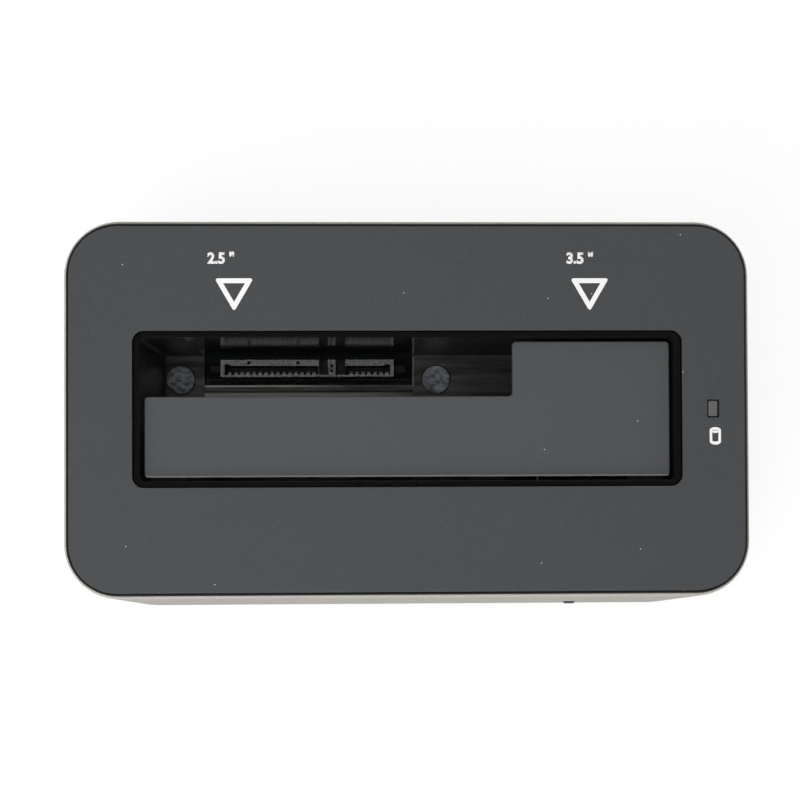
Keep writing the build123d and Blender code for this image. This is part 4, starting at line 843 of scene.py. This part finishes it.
class DOCK_OT_mouldings(bpy.types.Operator):
    """Make the softened case, cover, slot, flap and base"""

    bl_idname = "dock.mouldings"
    bl_label = "Case Mouldings"

    def execute(self, context):
        sizes = context.scene.dock_mouldings
        colours = context.scene.dock_colours
        rgb = Vector(colours.cover)
        slot = Vector((LINER_HIGH.x + sizes.fade_side,
                       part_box("flap_door")[1].y + sizes.fade_rear, 0))
        top = COVER_HIGH.z
        # The cover and the flap get near-black painted shade on their edges, over the flap's arms
        # and into the slot.
        softened("top_cover", "cover_moulding", sizes.edge, "case",
                 matte_cover("matte_cover", rgb, COVER_LOW.y - sizes.edge, top,
                             sizes.shade_drop, slot, sizes))
        softened("flap_door", "flap_moulding", sizes.flap_edge, "flap",
                 matte_cover("matte_flap", rgb * 1.2, sizes.shade_edge, top, top,
                             Vector((0, 0, 0)), sizes))
        softened("outer_shell", "shell_moulding", sizes.edge, "case",
                 satin_shell(colours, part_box("outer_shell")[1].z - sizes.highlight_depth))
        softened("drive_well", "slot_liner", sizes.edge, "case",
                 polished_liner(colours, sizes))
        softened("base_plate", "base_moulding", sizes.edge, "case",
                 grained("moulded_base", *tints(colours.base, 0.8, 1.4), 0.5 * MM,
                         (0.45, 0.2), (0.05 * MM, 0.6), rough=0.6))
        return {"FINISHED"}


class DOCK_OT_connectors(bpy.types.Operator):
    """Make the softened receptacle, port, jack and switch"""

    bl_idname = "dock.connectors"
    bl_label = "Connectors"

    def execute(self, context):
        sizes = context.scene.dock_mouldings
        colours = context.scene.dock_colours
        black = connector_plastic(colours)
        tin = metal("port_tin", colours.tin, 0.24, (0.05, 1.0, 1.0))
        low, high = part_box("sata_receptacle")
        middle = (low + high) / 2
        top = high.z
        tab = middle.x + sizes.tab_middle
        half = sizes.tab_width / 2
        front = middle.y - sizes.mouth_depth / 2 + sizes.lip
        rear = middle.y + sizes.mouth_depth
        boxes = [((middle.x + sizes.gap_start, front, top - sizes.gap_depth),
                  (tab - half, rear, top + sizes.gap_depth)),
                 ((tab + half, front, top - sizes.gap_depth),
                  (middle.x + sizes.gap_end, rear, top + sizes.gap_depth))]
        posts = [((tab, middle.y + side * sizes.eye_gap / 2, top), sizes.eye_radius,
                  sizes.eye_depth) for side in (-1, 1)]
        softened("sata_receptacle", "receptacle_housing", sizes.fine_edge, "case",
                 receptacle_plastic(colours, top, sizes.lit_top_depth),
                 boxes, posts)
        softened("power_jack_body", "jack_housing", sizes.fine_edge, "case",
                 black)
        softened("light_pipe", "window_lens", sizes.lens_edge, "case",
                 smoked_lens(colours))
        softened("switch_knob", "switch_button", sizes.fine_edge, "switch_slider",
                 black)
        softened("usb_port_shell", "port_can", sizes.fine_edge, "case", tin)
        softened("usb_port_insert", "port_core", sizes.fine_edge, "case",
                 grained("port_blue", *tints(colours.blue, 0.85, 1.1), 0.2 * MM, (0.34, 0.1),
                         (0.01 * MM, 0.4), detail=2.0, rough=0.5))
        return {"FINISHED"}


class DOCK_OT_spring(bpy.types.Operator):
    """Make the hinge spring, fixed to no body"""

    bl_idname = "dock.spring"
    bl_label = "Hinge Spring"

    def execute(self, context):
        sizes = context.scene.dock_mouldings
        steel = metal("spring_steel", context.scene.dock_colours.steel, 0.3,
                      (0.3, 1.0, 1.0))
        piece = softened("flap_spring", "hinge_spring", sizes.fine_edge, None, steel)
        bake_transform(piece)
        return {"FINISHED"}


class DOCK_OT_marks(bpy.types.Operator):
    """Print the plain drive sizes, the insert arrows and the drum symbol on the cover"""

    bl_idname = "dock.marks"
    bl_label = "Printed Marks"

    def execute(self, context):
        marks = context.scene.dock_marks
        white = tints(context.scene.dock_colours.ink, 0.93, 1.03)
        ink = grained("print_ink", *white, 0.16 * MM, (0.5, 0.15), (0.008 * MM, 0.5))
        top = COVER_HIGH.z
        for name, words, x, shift in (
                ("small_drive_mark", '2.5 "', marks.small_x, marks.small_shift),
                ("large_drive_mark", '3.5 "', marks.large_x, marks.large_shift)):
            number = printed_number(words, x - shift, marks.number_y, top, marks)
            arrow = printed_arrow(x, marks.arrow_y, top, marks)
            piece = settle(joined([number, arrow]), name, ink)
            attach(piece, "case")
        x = (LAMP_LOW.x + LAMP_HIGH.x) / 2 + marks.symbol_shift
        y = (LAMP_LOW.y + LAMP_HIGH.y) / 2 - marks.symbol_drop
        piece = settle(printed_drum(x, y, top, marks), "drum_symbol", ink)
        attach(piece, "case")
        return {"FINISHED"}


class DOCK_OT_pads(bpy.types.Operator):
    """Make the two dished rubber pads on the floor of the slot"""

    bl_idname = "dock.pads"
    bl_label = "Rest Pads"

    def execute(self, context):
        sizes = context.scene.dock_mouldings
        material = pad_rubber()
        boxes = solid_boxes("rest_pads")
        pad = disc(boxes[0])
        with editing(pad):
            pick(pad, "FACE", lambda face: face.normal.z > 0.9)
            bpy.ops.mesh.inset(thickness=sizes.pad_rim)
            bpy.ops.mesh.inset(thickness=sizes.pad_rim / 3, depth=-sizes.pad_dish)
        pads = discs(pad, boxes, sizes.pad_edge, segments=3, sharp=20)
        piece = settle(pads, "dished_pads", material)
        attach(piece, "case")
        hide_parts("rest_pads")
        return {"FINISHED"}


class DOCK_OT_feet(bpy.types.Operator):
    """Make the four rubber feet with grip rings"""

    bl_idname = "dock.feet"
    bl_label = "Rubber Feet"

    def execute(self, context):
        sizes = context.scene.dock_mouldings
        material = grained("foot_rubber_skin", (0.014, 0.014, 0.01428, 1.0),
                           (0.0266, 0.0266, 0.0259, 1.0), 0.35 * MM, (0.55, 0.22),
                           (0.03 * MM, 0.5), detail=4.0, specular=0.4,
                           cloud=(2.2 * MM, 3.0, 0.6))
        boxes = solid_boxes("rubber_feet")
        low, high = boxes[0]
        foot = disc(boxes[0])
        step = (high.x - low.x) / 2 / (2 * sizes.foot_rings + 2)
        land, flank = step * 0.8, step * 0.2
        with editing(foot):
            pick(foot, "FACE", lambda face: face.normal.z < -0.9)
            for _ in range(sizes.foot_rings):
                for depth in (-sizes.ring_depth, sizes.ring_depth):
                    bpy.ops.mesh.inset(thickness=land)
                    bpy.ops.mesh.inset(thickness=flank, depth=depth)
        feet = discs(foot, boxes, sizes.foot_edge, segments=2, sharp=30)
        piece = settle(feet, "ringed_feet", material)
        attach(piece, "case")
        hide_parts("rubber_feet")
        return {"FINISHED"}


class DOCK_OT_ridges(bpy.types.Operator):
    """Make the grip ridges on the face of the switch"""

    bl_idname = "dock.ridges"
    bl_label = "Switch Ridges"

    def execute(self, context):
        sizes = context.scene.dock_mouldings
        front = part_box("switch_knob")[0].y
        face_depth, tall, rounding = 0.5 * MM, 0.62, 0.3
        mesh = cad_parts["switch_knob"].data
        low, high = box_of(v.co for v in mesh.vertices if v.co.y < front + face_depth)
        pitch = (high.x - low.x) / (sizes.ridges + 1)
        bpy.ops.mesh.primitive_cube_add(size=1.0, location=(0, 0, 0))
        ridge = bpy.context.object
        with editing(ridge):
            bpy.ops.transform.resize(value=(sizes.ridge_width, 2 * sizes.ridge_proud,
                                            (high.z - low.z) * tall),
                                     center_override=(0, 0, 0))
            bpy.ops.mesh.bevel(offset=sizes.ridge_width * rounding, segments=3,
                               affect="EDGES")
        ridges = repeated(ridge, [(low.x + pitch * (number + 1), front, (low.z + high.z) / 2)
                                  for number in range(sizes.ridges)])
        material = connector_plastic(context.scene.dock_colours)
        piece = settle(ridges, "switch_ridges", material)
        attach(piece, "switch_slider")
        return {"FINISHED"}


class DOCK_OT_finishes(bpy.types.Operator):
    """Give the remaining construction nodes their finishes"""

    bl_idname = "dock.finishes"
    bl_label = "Finishes"

    def execute(self, context):
        colours = context.scene.dock_colours
        steel = metal("plain_steel", colours.steel, 0.28, (0.06, 1.0, 1.0))
        gold = metal("gold_flash", colours.gold, 0.2, (1.0, 1.0, 0.08))
        # height below which the contact blades get near-black painted shade
        shade_height = (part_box("sata_receptacle")[1].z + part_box("main_board")[1].z) / 2
        blade = metal("blade_flash", colours.gold, 0.34, (1.0, 1.0, 0.08), shade_height,
                      metallic=0.5)
        aluminium = metal("can_aluminium", (0.70, 0.70, 0.72), 0.25, (1.0, 1.0, 0.05))
        resin = grained("chip_resin", *tints(colours.connector, 0.7, 1.3), 0.12 * MM,
                        (0.5, 0.15), (0.01 * MM, 0.5))
        ferrite = grained("pressed_ferrite", (0.02, 0.02, 0.022, 1.0),
                          (0.085, 0.083, 0.08, 1.0), 0.25 * MM, (0.5, 0.2),
                          (0.03 * MM, 0.6), detail=4.0)
        lamp = grained("lamp_resin", *tints((0.72, 0.72, 0.62), 0.85, 1.1), 0.5 * MM,
                       (0.25, 0.1), detail=2.0, rough=0.5)
        chosen = {
            "flap_hinge_pin": steel, "case_screws": steel,
            "board_screws": steel, "well_screws": steel, "switch_body": steel,
            "crystal": steel, "sata_power_contacts": blade, "sata_data_contacts": blade,
            "usb_port_contacts": gold, "power_jack_pin": gold, "power_jack_spring": gold,
            "bridge_chip": resin, "memory_chip": resin, "regulator_chips": resin,
            "inductors": ferrite, "small_chip_parts": ferrite,
            "electrolytic_capacitors": aluminium, "main_board": solder_mask(colours),
            "indicator_lamp": lamp,
        }
        for node, material in chosen.items():
            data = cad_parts[node].data
            data.materials.clear()
            data.materials.append(material)
        return {"FINISHED"}


class DOCK_OT_stage(bpy.types.Operator):
    """Set up the pale floor, the world, the soft lamps and the camera"""

    bl_idname = "dock.stage"
    bl_label = "Stage"

    def execute(self, context):
        stage = context.scene.dock_stage
        bpy.ops.mesh.primitive_plane_add(size=stage.floor_size,
                                         location=(0, 0, -stage.floor_drop))
        floor = bpy.context.object
        settle(floor, "stage_floor", pale_floor(context.scene.dock_colours, stage))

        world = bpy.data.worlds.new("studio")
        context.scene.world = world
        world.use_nodes = True
        sky = Nodes(world.node_tree)
        direct_ray = (sky.rays("Camera") + sky.rays("Transmission")) > 0.5
        glossy_ray = sky.rays("Glossy")
        height = sky.node("ShaderNodeSeparateXYZ",
                          {0: sky.node("ShaderNodeTexCoord", out="Generated")}, out="Z")
        ceiling = sky.node("ShaderNodeMapRange",
                           {"Value": height, "From Min": stage.wall_height,
                            "From Max": stage.ceiling_height, "To Min": 1.0,
                            "To Max": stage.ceiling_level}, interpolation_type="SMOOTHSTEP")
        room = stage.room_level
        strength = direct_ray * (1 - room) + glossy_ray * (ceiling - room) + room
        background = world.node_tree.nodes["Background"].inputs
        sky.plug(background["Color"], (1.0, 1.0, 1.0, 1.0))
        sky.plug(background["Strength"], strength)

        for name, place, size, power, glossy in LAMPS:
            bpy.ops.object.light_add(type="AREA", location=place)
            lamp = bpy.context.object
            lamp.name = name
            lamp.data.size = size
            lamp.data.energy = power
            lamp.visible_glossy = glossy
            lamp.rotation_euler = (-Vector(place)).to_track_quat("-Z", "Y").to_euler()

        bpy.ops.object.camera_add(location=(stage.camera_x, stage.camera_y, stage.camera_z),
                                  rotation=(stage.tilt_x, stage.tilt_y, stage.tilt_z))
        camera = bpy.context.object
        camera.data.lens = stage.lens
        camera.data.sensor_width = SENSOR
        camera.data.shift_x = stage.shift_x
        camera.data.shift_y = stage.shift_y
        camera.data.clip_start = 0.01
        camera.data.clip_end = 50.0
        context.scene.camera = camera
        context.scene.view_settings.view_transform = "Standard"
        return {"FINISHED"}


class DOCK_PT_panel(bpy.types.Panel):
    """The dock's steps and settings."""

    bl_label = "Drive Dock"
    bl_idname = "DOCK_PT_panel"
    bl_space_type = "VIEW_3D"
    bl_region_type = "UI"
    bl_category = "Drive Dock"

    def draw(self, context):
        """Lists the operators, then the settings."""
        for step in STEPS:
            self.layout.operator(step.bl_idname)
        for group in (getattr(context.scene, name) for name in GROUPS):
            box = self.layout.box()
            for name in group.bl_rna.properties.keys():
                if name not in ("rna_type", "name"):
                    box.prop(group, name)


STEPS = (DOCK_OT_stage, DOCK_OT_mouldings, DOCK_OT_connectors, DOCK_OT_spring,
         DOCK_OT_marks, DOCK_OT_pads, DOCK_OT_feet, DOCK_OT_ridges, DOCK_OT_finishes)
GROUPS = {"dock_marks": DockMarks, "dock_mouldings": DockMouldings,
          "dock_colours": DockColours, "dock_stage": DockStage}


def register():
    """Registers the classes and the scene's settings."""
    for name, group in GROUPS.items():
        bpy.utils.register_class(group)
        setattr(bpy.types.Scene, name, PointerProperty(type=group))
    for step in STEPS:
        bpy.utils.register_class(step)
    bpy.utils.register_class(DOCK_PT_panel)


def unregister():
    """Takes them away again."""
    bpy.utils.unregister_class(DOCK_PT_panel)
    for step in reversed(STEPS):
        bpy.utils.unregister_class(step)
    for name, group in GROUPS.items():
        delattr(bpy.types.Scene, name)
        bpy.utils.unregister_class(group)


def main():
    """Makes the stage and every piece."""
    register()
    bpy.ops.dock.stage()
    bpy.ops.dock.mouldings()
    bpy.ops.dock.connectors()
    bpy.ops.dock.spring()
    bpy.ops.dock.marks()
    bpy.ops.dock.pads()
    bpy.ops.dock.feet()
    bpy.ops.dock.ridges()
    bpy.ops.dock.finishes()


if __name__ == "__main__":
    main()
